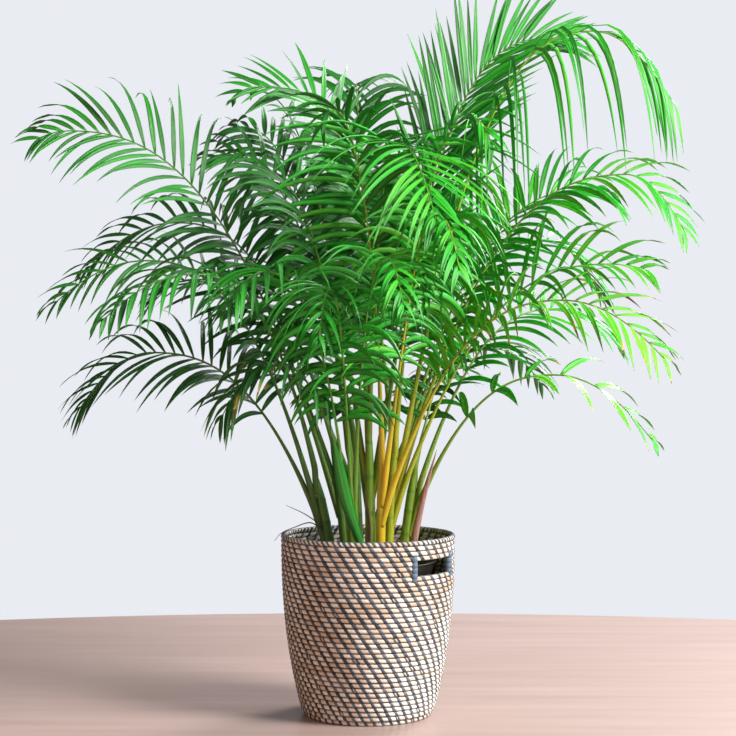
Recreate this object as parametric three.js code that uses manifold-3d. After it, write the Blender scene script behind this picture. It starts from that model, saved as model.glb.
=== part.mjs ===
// An areca palm in a nursery pot, standing on a drip saucer inside a coiled basket.
// Millimetres, +Z up. The origin is under the middle of the basket, on the surface it stands on.
import * as THREE from 'three';
import { mergeVertices } from 'three/addons/utils/BufferGeometryUtils.js';
import Module from 'manifold-3d';

const wasm = await Module();
wasm.setup();

// ---------------------------------------------------------------- driving dimensions
const FIT = 0.3; // gap between pieces that touch

const BASKET_HEIGHT = 331;
const BASKET_TOP_RADIUS = 160;
const BASKET_FOOT_RADIUS = 120;
const BASKET_CORNER = 10; // rounding where the wall meets the floor
const BASKET_SWELL = 2.4; // how early the wall reaches its full radius
const COIL = 8.5; // thickness of one bound coil, and so of the wall and floor
const RIM_HEIGHT = 10;
const RIM_SIDES = 6;
const BASKET_SIDES = 40;
const WALL_STEPS = 6;
const CORNER_STEPS = 2;

const HANDLE_HEADINGS = [-40, 140]; // degrees from +X, seen from above
const HANDLE_WIDTH = 100;
const HANDLE_HEIGHT = 28;
const HANDLE_BELOW_RIM = 36;
const POST_WIDTH = 13;
const POST_HEIGHT = 47;
const POST_SKIN = 2.2; // thickness of the binding over the wall
const POST_SWELL = 6; // extra depth of a post, because the wall curves through it

const SAUCER_RADIUS = 106;
const SAUCER_HEIGHT = 24;
const SAUCER_WALL = 2;
const SAUCER_FLARE = 5;

const POT_WALL = 2.2;
const POT_RIM_GAP = 23; // between the pot's rim and the inside of the basket
const POT_FOOT_GAP = 6; // between the pot's foot and the saucer's wall
const POT_BELOW_RIM = 49;
const POT_LIP = 3;
const POT_LIP_HEIGHT = 14;
const DRAIN_COUNT = 6;
const DRAIN_RADIUS = 6;
const DRAIN_PLACE = 0.7; // share of the pot's foot radius
const TURNED_SIDES = 32;

const SOIL_BELOW_POT = 20;
const SOIL_DOME = 6;
const SOIL_SHOULDER = 0.6; // share of the pot's radius where the soil starts to fall away
const SOIL_SHOULDER_DROP = 1;
const SOIL_GAP = 1; // between the soil and the pot's wall

const CANE_RADIUS = 9.5;
const CANE_DEPTH = 95; // how far a cane goes into the soil
const CANE_SIDES = 8;
const CANE_BOW = 4; // how far a cane bows up from a straight line
const CANE_TAPER = [0.9, 1, 0.97, 0.94];
const STRIP_TAPER = [0.7, 1, 1, 0.35];
const FIBRE_RADIUS = 1;
const FIBRE_SIDES = 5;

const CROWN_SPREAD = 650; // farthest reach of a frond from the basket's axis
const CROWN_HEIGHT = 1030; // highest midrib above the soil
const ARCH_POWER = 2.5; // a frond rises steeply first and levels out at its crest
const PETIOLE_RADIUS = 3.2;
const PETIOLE_SPACING = 36; // height between the petioles of one cane
const PETIOLE_GAP = 1; // between a petiole's foot and the side of its cane
const TIP_RADIUS = 1.3;
const MIDRIB_SQUARE = 0.9; // half the side of a midrib's square section, as a share of its radius
const FOOT_STEEPNESS = 1.5; // a midrib is steep at its foot, so equal lengths cover less ground there
const PETIOLE_STEPS = 4;
const BLADE_START = 0.36; // share of the midrib below the first leaflet
const BLADE_END = 0.96;
const PAIRS = 8;
const LEAFLET_WIDTH = 15;
const LEAFLET_THICKNESS = 2;
const LEAFLET_FOOT = 5; // length of midrib that a leaflet grows from
const TIP_SHORTENING = 0.5; // how much shorter leaflets are at the very tip
const LEAFLET_SWEEP = 52; // degrees between the midrib and a leaflet
const LEAFLET_LIFT = 22; // degrees that leaflets rise from the midrib's plane
const LEAFLET_HANG = 0.75;
const SWEEP_SPREAD = 4; // degrees that leaflets differ from each other
const LIFT_SPREAD = 6;

// ---------------------------------------------------------------- small helpers
const up = new THREE.Vector3(0, 0, 1);
const vec = (x, y, z) => new THREE.Vector3(x, y, z);
const turned = (degrees) => {
  const angle = THREE.MathUtils.degToRad(degrees);
  return vec(Math.cos(angle), Math.sin(angle), 0);
};

// A repeatable number from -1 to 1 that differs from leaflet to leaflet.
function jitter(seed) {
  const wave = Math.sin(seed * 12.9898) * 43758.5453;
  return 2 * (wave - Math.floor(wave)) - 1;
}

function toSolid(geometry) {
  const bare = geometry.clone();
  bare.deleteAttribute('normal');
  bare.deleteAttribute('uv');
  const merged = mergeVertices(bare, 1e-4);
  const vertProperties = new Float32Array(merged.attributes.position.array);
  const triVerts = new Uint32Array(merged.index.array);
  return new wasm.Manifold(new wasm.Mesh({ numProp: 3, vertProperties, triVerts }));
}

function toGeometry(solid) {
  const mesh = solid.getMesh();
  const geometry = new THREE.BufferGeometry();
  geometry.setAttribute('position', new THREE.BufferAttribute(new Float32Array(mesh.vertProperties), 3));
  geometry.setIndex(new THREE.BufferAttribute(new Uint32Array(mesh.triVerts), 1));
  geometry.computeVertexNormals();
  return geometry;
}

// A closed skin over rings of points. A ring of one point makes a pointed end.
function loft(rings) {
  const points = rings.flat();
  const triangles = [];
  let first = 0;
  for (let i = 0; i + 1 < rings.length; i += 1) {
    const near = rings[i].length;
    const far = rings[i + 1].length;
    const next = first + near;
    for (let k = 0; k < near; k += 1) {
      const a = first + k;
      const b = first + ((k + 1) % near);
      const c = next + (far === 1 ? 0 : (k + 1) % far);
      triangles.push(a, b, c);
      if (far > 1) triangles.push(a, c, next + k);
    }
    first = next;
  }
  for (let k = 1; k + 1 < rings[0].length; k += 1) triangles.push(0, k + 1, k);
  const last = rings[rings.length - 1];
  for (let k = 1; k + 1 < last.length; k += 1) triangles.push(first, first + k, first + k + 1);
  const geometry = new THREE.BufferGeometry().setFromPoints(points);
  geometry.setIndex(triangles);
  return geometry;
}

function ringAround(centre, across, over, radius, sides) {
  return Array.from({ length: sides }, (_, k) => {
    const angle = (2 * Math.PI * k) / sides;
    return centre.clone()
      .addScaledVector(across, radius * Math.cos(angle))
      .addScaledVector(over, radius * Math.sin(angle));
  });
}

// A round bar through points, with its own radius at each.
function bar(points, radii, sides) {
  return loft(points.map((point, i) => {
    const before = points[Math.max(i - 1, 0)];
    const after = points[Math.min(i + 1, points.length - 1)];
    const along = after.clone().sub(before).normalize();
    const across = vec(0, 1, 0).cross(along).lengthSq() > 0.05
      ? vec(0, 1, 0).cross(along).normalize()
      : vec(1, 0, 0).cross(along).normalize();
    const over = along.clone().cross(across);
    return ringAround(point, across, over, radii[i], sides);
  }));
}

// A turned shape about the Z axis, from a profile of [radius, height] points.
const lathe = (profile, sides) => new THREE.LatheGeometry(
  profile.map(([r, z]) => new THREE.Vector2(r, z)), sides).rotateX(Math.PI / 2);

const group = new THREE.Group();

function add(name, geometry, look) {
  const mesh = new THREE.Mesh(geometry, new THREE.MeshStandardMaterial({ metalness: 0, ...look }));
  mesh.name = name;
  group.add(mesh);
}

const LOOKS = {
  cane: { color: 0xcaa476, roughness: 0.7 },
  binding: { color: 0x6e8caa, roughness: 0.65 },
  plastic: { color: 0x2b2a28, roughness: 0.5 },
  soil: { color: 0x2e2119, roughness: 0.95 },
  stem: { color: 0x8a8f34, roughness: 0.5 },
  sheath: { color: 0xa87f66, roughness: 0.8 },
  leaf: { color: 0x2f8a22, roughness: 0.45 },
};

// ---------------------------------------------------------------- basket
const basketRadius = (height) => {
  const share = THREE.MathUtils.clamp(height / BASKET_HEIGHT, 0, 1);
  const swell = 1 - (1 - share) ** BASKET_SWELL;
  return BASKET_FOOT_RADIUS + (BASKET_TOP_RADIUS - BASKET_FOOT_RADIUS) * swell;
};
const WALL_TOP = BASKET_HEIGHT - RIM_HEIGHT - FIT;
const HANDLE_MIDDLE = BASKET_HEIGHT - HANDLE_BELOW_RIM - HANDLE_HEIGHT / 2;

// The floor and wall, thicker on every side by `extra`.
function basketSolid(extra) {
  const profile = [[0, -extra]];
  for (let i = 0; i <= CORNER_STEPS; i += 1) {
    const angle = (Math.PI / 2) * (i / CORNER_STEPS);
    profile.push([
      basketRadius(BASKET_CORNER) - BASKET_CORNER * (1 - Math.sin(angle)) + extra * Math.sin(angle),
      BASKET_CORNER * (1 - Math.cos(angle)) - extra * Math.cos(angle),
    ]);
  }
  const heights = Array.from({ length: WALL_STEPS }, (_, i) => (
    BASKET_CORNER + ((WALL_TOP - BASKET_CORNER) * (i + 1)) / WALL_STEPS));
  for (const z of heights) profile.push([basketRadius(z) + extra, z]);
  for (const z of [...heights].reverse()) profile.push([basketRadius(z) - COIL - extra, z]);
  profile.push([basketRadius(COIL) - COIL - extra, COIL + extra]);
  profile.push([0, COIL + extra]);
  return toSolid(lathe(profile, BASKET_SIDES));
}

// A block that stands across the wall: `side` is its distance along the wall from the handle's middle.
function blockAcrossWall(heading, side, width, depth, height) {
  const block = new THREE.BoxGeometry(depth, width, height);
  block.translate(basketRadius(HANDLE_MIDDLE) - COIL / 2, side, HANDLE_MIDDLE);
  block.rotateZ(THREE.MathUtils.degToRad(heading));
  return toSolid(block);
}

const slotReach = 8 * COIL; // well past the wall on both sides
const slots = (shrink) => HANDLE_HEADINGS.map((heading) => blockAcrossWall(
  heading, 0, HANDLE_WIDTH - 2 * shrink, slotReach, HANDLE_HEIGHT - 2 * shrink));

let basket = basketSolid(0);
for (const slot of slots(0)) basket = basket.subtract(slot);
add('basket', toGeometry(basket), LOOKS.cane);

const rimMiddle = basketRadius(BASKET_HEIGHT) - COIL / 2;
const rimOutline = Array.from({ length: RIM_SIDES + 1 }, (_, i) => {
  const angle = (2 * Math.PI * (i % RIM_SIDES)) / RIM_SIDES;
  return [
    rimMiddle + (COIL / 2) * Math.cos(angle),
    BASKET_HEIGHT - RIM_HEIGHT / 2 + (RIM_HEIGHT / 2) * Math.sin(angle),
  ];
});
add('rim_coil', toGeometry(toSolid(lathe(rimOutline, BASKET_SIDES))), LOOKS.cane);

// ---------------------------------------------------------------- bound posts at the handle slots
let thickWall = basketSolid(FIT);
for (const slot of slots(FIT)) thickWall = thickWall.subtract(slot);
const postNames = ['front_left', 'front_right', 'back_right', 'back_left'];
HANDLE_HEADINGS.forEach((heading, handle) => {
  [-1, 1].forEach((end, k) => {
    const side = end * (HANDLE_WIDTH / 2);
    const depth = COIL + 2 * POST_SKIN + POST_SWELL;
    const block = blockAcrossWall(heading, side, POST_WIDTH, depth, POST_HEIGHT);
    const sleeve = block.subtract(thickWall);
    add(`handle_binding_${postNames[2 * handle + k]}`, toGeometry(sleeve), LOOKS.binding);
  });
});

// ---------------------------------------------------------------- saucer, pot and soil
const SAUCER_FLOOR = COIL + FIT;
const POT_FLOOR = SAUCER_FLOOR + SAUCER_WALL + FIT;
const POT_TOP = BASKET_HEIGHT - POT_BELOW_RIM;
const POT_RADIUS = basketRadius(POT_TOP) - COIL - POT_RIM_GAP;
const POT_FOOT_RADIUS = SAUCER_RADIUS - SAUCER_WALL - POT_FOOT_GAP;
const SOIL_TOP = POT_TOP - SOIL_BELOW_POT;

add('drip_saucer', toGeometry(toSolid(lathe([
  [0, SAUCER_FLOOR],
  [SAUCER_RADIUS, SAUCER_FLOOR],
  [SAUCER_RADIUS + SAUCER_FLARE, SAUCER_FLOOR + SAUCER_HEIGHT],
  [SAUCER_RADIUS + SAUCER_FLARE - SAUCER_WALL, SAUCER_FLOOR + SAUCER_HEIGHT],
  [SAUCER_RADIUS - SAUCER_WALL, SAUCER_FLOOR + SAUCER_WALL],
  [0, SAUCER_FLOOR + SAUCER_WALL],
], TURNED_SIDES))), LOOKS.plastic);

const potRadius = (z) => {
  const share = (z - POT_FLOOR) / (POT_TOP - POT_FLOOR);
  return POT_FOOT_RADIUS + (POT_RADIUS - POT_LIP - POT_FOOT_RADIUS) * share;
};
const lipFoot = POT_TOP - POT_LIP_HEIGHT;
let pot = toSolid(lathe([
  [0, POT_FLOOR],
  [POT_FOOT_RADIUS, POT_FLOOR],
  [potRadius(lipFoot), lipFoot],
  [potRadius(lipFoot) + POT_LIP, lipFoot],
  [POT_RADIUS, POT_TOP],
  [potRadius(POT_TOP) - POT_WALL, POT_TOP],
  [potRadius(POT_FLOOR + POT_WALL) - POT_WALL, POT_FLOOR + POT_WALL],
  [0, POT_FLOOR + POT_WALL],
], TURNED_SIDES));
for (let i = 0; i < DRAIN_COUNT; i += 1) {
  const drain = new THREE.CylinderGeometry(DRAIN_RADIUS, DRAIN_RADIUS, 4 * POT_WALL, 8);
  drain.rotateX(Math.PI / 2);
  const place = turned((360 / DRAIN_COUNT) * i).multiplyScalar(DRAIN_PLACE * POT_FOOT_RADIUS);
  drain.translate(place.x, place.y, POT_FLOOR + POT_WALL / 2);
  pot = pot.subtract(toSolid(drain));
}
add('nursery_pot', toGeometry(pot), LOOKS.plastic);

// ---------------------------------------------------------------- canes
// Each cane: where it leaves the soil, as shares of the pot's radius, how far its crown leans out
// from there, and how far the crown is above the soil.
const CANES = {
  left: { foot: [-0.47, -0.11], lean: [-34, 2], height: 170 },
  left_inner: { foot: [-0.31, 0.14], lean: [-20, 6], height: 215 },
  front_left: { foot: [-0.17, -0.31], lean: [-8, -12], height: 190 },
  back_left: { foot: [-0.12, 0.36], lean: [-10, 16], height: 235 },
  middle: { foot: [0.03, 0.05], lean: [-2, 2], height: 265 },
  front_right: { foot: [0.17, -0.33], lean: [4, -12], height: 205 },
  right_inner: { foot: [0.28, -0.05], lean: [14, 0], height: 235 },
  right: { foot: [0.48, 0.08], lean: [24, 4], height: 180 },
  back_right: { foot: [0.27, 0.34], lean: [12, 18], height: 225 },
  back: { foot: [0.05, 0.58], lean: [-2, 18], height: 190 },
};

// The line of a cane or strip, from inside the soil to its top.
function stemLine({ foot, lean, height }) {
  const surface = vec(foot[0] * POT_RADIUS, foot[1] * POT_RADIUS, SOIL_TOP);
  const buried = surface.clone().addScaledVector(up, -CANE_DEPTH);
  const top = surface.clone().add(vec(...lean, height));
  const middle = surface.clone().lerp(top, 0.5).addScaledVector(up, CANE_BOW);
  return [buried, surface, middle, top];
}
const caneBar = (cane, extra) => bar(
  stemLine(cane),
  CANE_TAPER.map((share) => CANE_RADIUS * share + extra),
  CANE_SIDES,
);

// ---------------------------------------------------------------- dry sheaths and the spear leaf
const STRIPS = {
  dry_sheath_narrow: {
    foot: [0, -0.22], lean: [-4, -12], height: 150, width: 7, thick: 2, look: 'sheath',
  },
  dry_sheath_broad: {
    foot: [0.59, -0.17], lean: [50, -12], height: 225, width: 10, thick: 2.4, look: 'sheath',
  },
  spear_leaf: {
    foot: [0.03, -0.5], lean: [-66, -32], height: 250, width: 12, thick: 2.4, look: 'leaf',
  },
};

function stripSolid(strip, extra) {
  return toSolid(loft(stemLine(strip).map((point, i) => {
    const half = strip.width * STRIP_TAPER[i] + extra;
    const thick = strip.thick / 2 + extra;
    return [[-half, -thick], [half, -thick], [half, thick], [-half, thick]]
      .map(([x, y]) => point.clone().add(vec(x, y, 0)));
  })));
}

// Fibres that have come loose from the left cane's sheath. One falls over the basket's rim.
// Points from the middle of the basket, with heights from the top of its rim.
const FIBRES = {
  dry_fibre_bent: [[-80, -26, 3], [-104, -31, 22], [-135, -37, 14], [-158, -41, 4], [-170, -44, -10]],
  dry_fibre_straight: [[-82, -27, 15], [-116, -29, 38], [-150, -30, 54]],
};
const fibreLine = (points) => points.map(([x, y, z]) => vec(x, y, BASKET_HEIGHT + z));

const soilFloor = POT_FLOOR + POT_WALL;
const soilEdge = SOIL_TOP - SOIL_DOME;
let soil = toSolid(lathe([
  [0, soilFloor + FIT],
  [potRadius(soilFloor) - POT_WALL - SOIL_GAP, soilFloor + FIT],
  [potRadius(soilEdge) - POT_WALL - SOIL_GAP, soilEdge],
  [SOIL_SHOULDER * POT_RADIUS, SOIL_TOP - SOIL_SHOULDER_DROP],
  [0, SOIL_TOP],
], TURNED_SIDES));
for (const cane of Object.values(CANES)) soil = soil.subtract(toSolid(caneBar(cane, FIT)));
for (const strip of Object.values(STRIPS)) soil = soil.subtract(stripSolid(strip, FIT));
add('soil', toGeometry(soil), LOOKS.soil);

for (const [name, cane] of Object.entries(CANES)) {
  add(`cane_${name}`, toGeometry(toSolid(caneBar(cane, 0))), LOOKS.stem);
}
for (const [name, strip] of Object.entries(STRIPS)) {
  add(name, toGeometry(stripSolid(strip, 0)), LOOKS[strip.look]);
}
for (const [name, points] of Object.entries(FIBRES)) {
  const line = fibreLine(points);
  add(name, bar(line, line.map(() => FIBRE_RADIUS), FIBRE_SIDES), LOOKS.sheath);
}

// ---------------------------------------------------------------- fronds
// heading: degrees from +X. reach: share of the crown's spread at the tip.
// peak and tip: shares of the crown's height. crest: where along its reach the frond is highest.
// arch: how steeply it leaves its cane, where it isn't ARCH_POWER.
// leaf: longest leaflet. roll: degrees that the blade is turned about its midrib.
// sweep: degrees between the midrib and its leaflets. lift: degrees that they stand up from the
// blade. hang: how far their outer halves fall.
const FRONDS = {
  left_high: {
    cane: 'left_inner', heading: 182, reach: 0.93, peak: 0.785, tip: 0.77,
    crest: 0.9, leaf: 175, roll: 58, hang: 0.6,
  },
  left_middle: {
    cane: 'left_inner', heading: 168, reach: 0.84, peak: 0.63, tip: 0.55,
    crest: 0.65, leaf: 160, roll: 40,
  },
  left_level: {
    cane: 'left', heading: 191, reach: 0.87, peak: 0.55, tip: 0.475,
    crest: 0.65, leaf: 145, roll: 35,
  },
  left_front: {
    cane: 'left', heading: 212, reach: 0.8, peak: 0.52, tip: 0.44,
    crest: 0.6, leaf: 140, roll: 20, hang: 1.3,
  },
  left_low: {
    cane: 'left', heading: 176, reach: 0.83, peak: 0.39, tip: 0.29,
    crest: 0.7, leaf: 175, roll: 35,
  },
  left_small: {
    cane: 'back_left', heading: 164, reach: 0.4, peak: 0.35, tip: 0.31,
    crest: 0.7, leaf: 85, roll: 30,
  },
  left_back: {
    cane: 'left_inner', heading: 154, reach: 0.74, peak: 0.53, tip: 0.48,
    crest: 0.75, leaf: 150, roll: 35,
  },
  upper_left: {
    cane: 'back_left', heading: 166, reach: 0.46, peak: 0.755, tip: 0.75,
    crest: 0.95, leaf: 165, roll: 45,
  },
  upper_back_left: {
    cane: 'back_left', heading: 146, reach: 0.5, peak: 0.82, tip: 0.81,
    crest: 0.95, leaf: 160, roll: 35,
  },
  top_left: {
    cane: 'back_right', heading: 176, reach: 0.36, peak: 0.87, tip: 0.86,
    crest: 0.9, arch: 4, leaf: 165, roll: 45, sweep: 85, lift: 12, hang: 0.25,
  },
  top_sprig: {
    cane: 'middle', heading: 140, reach: 0.54, peak: 0.89, tip: 0.88,
    crest: 0.85, leaf: 75,
  },
  top_back: {
    cane: 'middle', heading: 96, reach: 0.44, peak: 0.91, tip: 0.88,
    crest: 0.8, leaf: 165,
  },
  top_right: {
    cane: 'middle', heading: 12, reach: 0.6, peak: 0.97, tip: 0.97,
    crest: 1, arch: 3.2, leaf: 205, roll: -70, sweep: 30, lift: 12, hang: 0.15,
  },
  right_high: {
    cane: 'right_inner', heading: 356, reach: 0.84, peak: 0.96, tip: 0.845,
    crest: 0.72, leaf: 330, hang: 5,
  },
  front_high: {
    cane: 'middle', heading: 290, reach: 0.5, peak: 0.745, tip: 0.6,
    crest: 0.45, leaf: 250, sweep: 84, lift: 15, hang: 0.8,
  },
  front_right: {
    cane: 'front_right', heading: 292, reach: 0.6, peak: 0.61, tip: 0.52,
    crest: 0.7, leaf: 165, hang: 1.4,
  },
  front_middle: {
    cane: 'front_left', heading: 278, reach: 0.62, peak: 0.54, tip: 0.46,
    crest: 0.7, leaf: 160, hang: 1.4,
  },
  front_low: {
    cane: 'front_left', heading: 258, reach: 0.58, peak: 0.49, tip: 0.41,
    crest: 0.7, leaf: 160, hang: 1.5,
  },
  front_left: {
    cane: 'front_left', heading: 234, reach: 0.62, peak: 0.52, tip: 0.45,
    crest: 0.7, leaf: 165, hang: 1.3,
  },
  right_arch: {
    cane: 'right_inner', heading: 350, reach: 0.88, peak: 0.7, tip: 0.6,
    crest: 0.8, leaf: 150, roll: -40,
  },
  right_dense: {
    cane: 'back_right', heading: 20, reach: 0.78, peak: 0.7, tip: 0.68,
    crest: 0.9, leaf: 170, roll: -35,
  },
  right_upright: {
    cane: 'right_inner', heading: 342, reach: 0.78, peak: 0.54, tip: 0.53,
    crest: 0.85, leaf: 165, roll: -45, lift: 45,
  },
  right_front: {
    cane: 'front_right', heading: 330, reach: 0.87, peak: 0.475, tip: 0.38,
    crest: 0.65, leaf: 145, roll: -35,
  },
  right_low: {
    cane: 'right', heading: 353, reach: 0.79, peak: 0.35, tip: 0.24,
    crest: 0.6, leaf: 120, roll: -25,
  },
  right_small: {
    cane: 'right', heading: 48, reach: 0.38, peak: 0.37, tip: 0.36,
    crest: 0.95, leaf: 95, roll: -20,
  },
  right_back: {
    cane: 'right', heading: 26, reach: 0.85, peak: 0.475, tip: 0.41,
    crest: 0.7, leaf: 145, roll: -30,
  },
  right_far: {
    cane: 'back_right', heading: 35, reach: 0.91, peak: 0.61, tip: 0.5,
    crest: 0.7, leaf: 155, roll: -25,
  },
  back_left: {
    cane: 'back', heading: 122, reach: 0.8, peak: 0.56, tip: 0.5,
    crest: 0.75, leaf: 145,
  },
  back_right: {
    cane: 'back', heading: 62, reach: 0.82, peak: 0.63, tip: 0.57,
    crest: 0.75, leaf: 145,
  },
  back_high: {
    cane: 'back', heading: 94, reach: 0.72, peak: 0.75, tip: 0.7,
    crest: 0.75, leaf: 145,
  },
  back_low: {
    cane: 'back', heading: 46, reach: 0.8, peak: 0.4, tip: 0.33,
    crest: 0.7, leaf: 135,
  },
  left_inner_high: {
    cane: 'front_left', heading: 196, reach: 0.36, peak: 0.7, tip: 0.66,
    crest: 0.8, leaf: 175, roll: 40,
  },
  centre_high: {
    cane: 'front_right', heading: 246, reach: 0.3, peak: 0.8, tip: 0.77,
    crest: 0.85, leaf: 170, sweep: 60, hang: 0.9,
  },
  right_inner_high: {
    cane: 'right_inner', heading: 322, reach: 0.42, peak: 0.79, tip: 0.74,
    crest: 0.8, leaf: 170, roll: -30,
  },
  left_hanging: {
    cane: 'front_left', heading: 206, reach: 0.44, peak: 0.37, tip: 0.28,
    crest: 0.6, leaf: 150, roll: 20, hang: 1.6,
  },
};

// Leaflets are longest in the middle of the blade, and shortest at its tip.
const LEAST_LEAFLET = 0.42;
const leafletLength = (frond, grown) => {
  const swell = Math.sin(Math.PI * THREE.MathUtils.lerp(0.14, 0.88, grown));
  return frond.leaf * (LEAST_LEAFLET + (1 - LEAST_LEAFLET) * swell) * (1 - TIP_SHORTENING * grown ** 5);
};

// Lengths tried in turn for a leaflet that is crowded by its neighbours.
const SHORTENINGS = [1, 0.8, 0.6, 0.42];

// Angles in degrees tried in turn to pass a neighbour: none, then a little to each side, then more.
const swings = (step, count) => [0, ...Array.from({ length: count }, (_, i) => i + 1)
  .flatMap((i) => [i * step, -i * step])];
const LEAFLET_SWINGS = swings(5.5, 4);
const MIDRIB_SWINGS = swings(3, 60);

// Everything placed so far, as straight stretches with a radius.
const placed = [];

// The gap between two stretches, from the nearest points of their middle lines.
function stretchGap(a, b) {
  const u = a.to.clone().sub(a.from);
  const v = b.to.clone().sub(b.from);
  const w = a.from.clone().sub(b.from);
  const uu = u.dot(u);
  const uv = u.dot(v);
  const vv = v.dot(v);
  const uw = u.dot(w);
  const vw = v.dot(w);
  const clamp = (value) => THREE.MathUtils.clamp(value, 0, 1);
  const spread = uu * vv - uv * uv;
  const first = spread > 1e-9 ? clamp((uv * vw - vv * uw) / spread) : 0;
  const t = clamp((uv * first + vw) / vv);
  const s = clamp((uv * t - uw) / uu);
  const apart = w.clone().addScaledVector(u, s).addScaledVector(v, -t);
  return apart.length() - a.radius - b.radius;
}

const isClear = (stretches, owners) => stretches.every((stretch) => placed.every((other) => (
  owners.includes(other.owner) || stretchGap(stretch, other) > FIT)));

function stretchesOf(points, radii, owner) {
  return points.slice(1).map((to, i) => ({
    from: points[i], to, radius: Math.max(radii[i], radii[i + 1]), owner,
  }));
}

for (const [name, cane] of Object.entries(CANES)) {
  const line = stemLine(cane);
  placed.push(...stretchesOf(line, line.map(() => CANE_RADIUS), `cane_${name}`));
}
for (const [name, strip] of Object.entries(STRIPS)) {
  const line = stemLine(strip);
  placed.push(...stretchesOf(line, line.map(() => strip.width), name));
}
for (const [name, points] of Object.entries(FIBRES)) {
  const line = fibreLine(points);
  placed.push(...stretchesOf(line, line.map(() => FIBRE_RADIUS), name));
}

// The steepest frond of a cane stands on its top. The others leave its side below, each towards its
// own heading, so the flattest frond is the lowest.
const steepness = ({ peak, reach, crest }) => peak / (reach * crest);

function petioleFoot(name, swing) {
  const frond = FRONDS[name];
  const family = Object.keys(FRONDS).filter((other) => FRONDS[other].cane === frond.cane);
  family.sort((one, two) => steepness(FRONDS[two]) - steepness(FRONDS[one]));
  const rank = family.indexOf(name);
  const [, , middle, crown] = stemLine(CANES[frond.cane]);
  if (rank === 0) return crown.addScaledVector(up, FIT + PETIOLE_RADIUS);
  const below = (rank * PETIOLE_SPACING) / (crown.z - middle.z);
  const aside = CANE_RADIUS + PETIOLE_RADIUS + PETIOLE_GAP;
  return crown.lerp(middle, below).addScaledVector(turned(frond.heading + swing), aside);
}

// The shares along a midrib where it has a section, and the pair of leaflets at each, if any.
const stations = [
  ...Array.from({ length: PETIOLE_STEPS }, (_, i) => ({ share: (BLADE_START * i) / PETIOLE_STEPS })),
  ...Array.from({ length: PAIRS }, (_, i) => (
    { share: THREE.MathUtils.lerp(BLADE_START, BLADE_END, i / (PAIRS - 1)), pair: i })),
];

// The line of a midrib: steep at the petiole, level at the crest, and falling to the tip.
function midribPoint(name, swing, length) {
  const frond = FRONDS[name];
  const foot = petioleFoot(name, swing);
  const tip = turned(frond.heading + swing).multiplyScalar(frond.reach * CROWN_SPREAD);
  const peak = SOIL_TOP + frond.peak * CROWN_HEIGHT;
  const end = SOIL_TOP + frond.tip * CROWN_HEIGHT;
  const ground = length ** FOOT_STEEPNESS;
  const rise = 1 - Math.max(1 - ground / frond.crest, 0) ** (frond.arch ?? ARCH_POWER);
  const fall = Math.max((ground - frond.crest) / (1 - frond.crest || 1), 0) ** 2;
  const z = foot.z + (peak - foot.z) * rise - (peak - end) * fall;
  return vec(foot.x + (tip.x - foot.x) * ground, foot.y + (tip.y - foot.y) * ground, z);
}

const midribRadius = (share) => THREE.MathUtils.lerp(PETIOLE_RADIUS, TIP_RADIUS, share);

const swingOf = {};
for (const name of Object.keys(FRONDS)) {
  const shares = [...stations.map(({ share }) => share), 1];
  const cornerReach = Math.SQRT2 * MIDRIB_SQUARE;
  const stretchesAt = (swing) => stretchesOf(
    shares.map((share) => midribPoint(name, swing, share)),
    shares.map((share) => cornerReach * midribRadius(share)),
    name,
  );
  const ownCane = `cane_${FRONDS[name].cane}`;
  swingOf[name] = MIDRIB_SWINGS.find((swing) => isClear(stretchesAt(swing), [name, ownCane]));
  placed.push(...stretchesAt(swingOf[name]));
}

// The directions along, across and over a midrib, turned about it by the frond's roll.
function midribFrame(frond, along) {
  const roll = THREE.MathUtils.degToRad(frond.roll ?? 0);
  const flat = along.clone().cross(up).normalize();
  const rise = flat.clone().cross(along);
  const side = flat.clone().multiplyScalar(Math.cos(roll)).addScaledVector(rise, Math.sin(roll));
  const over = rise.clone().multiplyScalar(Math.cos(roll)).addScaledVector(flat, -Math.sin(roll));
  return { along, side, over };
}

// A leaflet: narrow where it joins the midrib, widest in the middle, where it bends, and pointed.
function leafletAt(frond, root, frame, side, length, swing, seed) {
  const degrees = THREE.MathUtils.degToRad;
  const sweep = degrees((frond.sweep ?? LEAFLET_SWEEP) + swing + SWEEP_SPREAD * jitter(seed));
  const lift = degrees((frond.lift ?? LEAFLET_LIFT) + LIFT_SPREAD * jitter(seed + 0.5));
  const out = frame.along.clone().multiplyScalar(Math.cos(sweep))
    .addScaledVector(frame.side, side * Math.sin(sweep) * Math.cos(lift))
    .addScaledVector(frame.over, Math.sin(sweep) * Math.sin(lift));
  // The outer half falls square to the inner half, so it never folds back over it.
  const drop = out.clone().multiplyScalar(out.z).sub(up);
  const fall = out.clone().addScaledVector(drop, frond.hang ?? LEAFLET_HANG).normalize();
  const middle = root.clone().addScaledVector(out, length / 2);
  const tip = middle.clone().addScaledVector(fall, length / 2);
  const flat = frame.along.clone().addScaledVector(out, -frame.along.dot(out)).normalize();
  const ridge = out.clone().cross(flat).multiplyScalar(side);
  return {
    line: [root, middle, tip],
    fore: middle.clone().addScaledVector(flat, LEAFLET_WIDTH / 2),
    aft: middle.clone().addScaledVector(flat, -LEAFLET_WIDTH / 2),
    ridge: middle.clone().addScaledVector(ridge, LEAFLET_THICKNESS),
    tip,
  };
}

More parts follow.
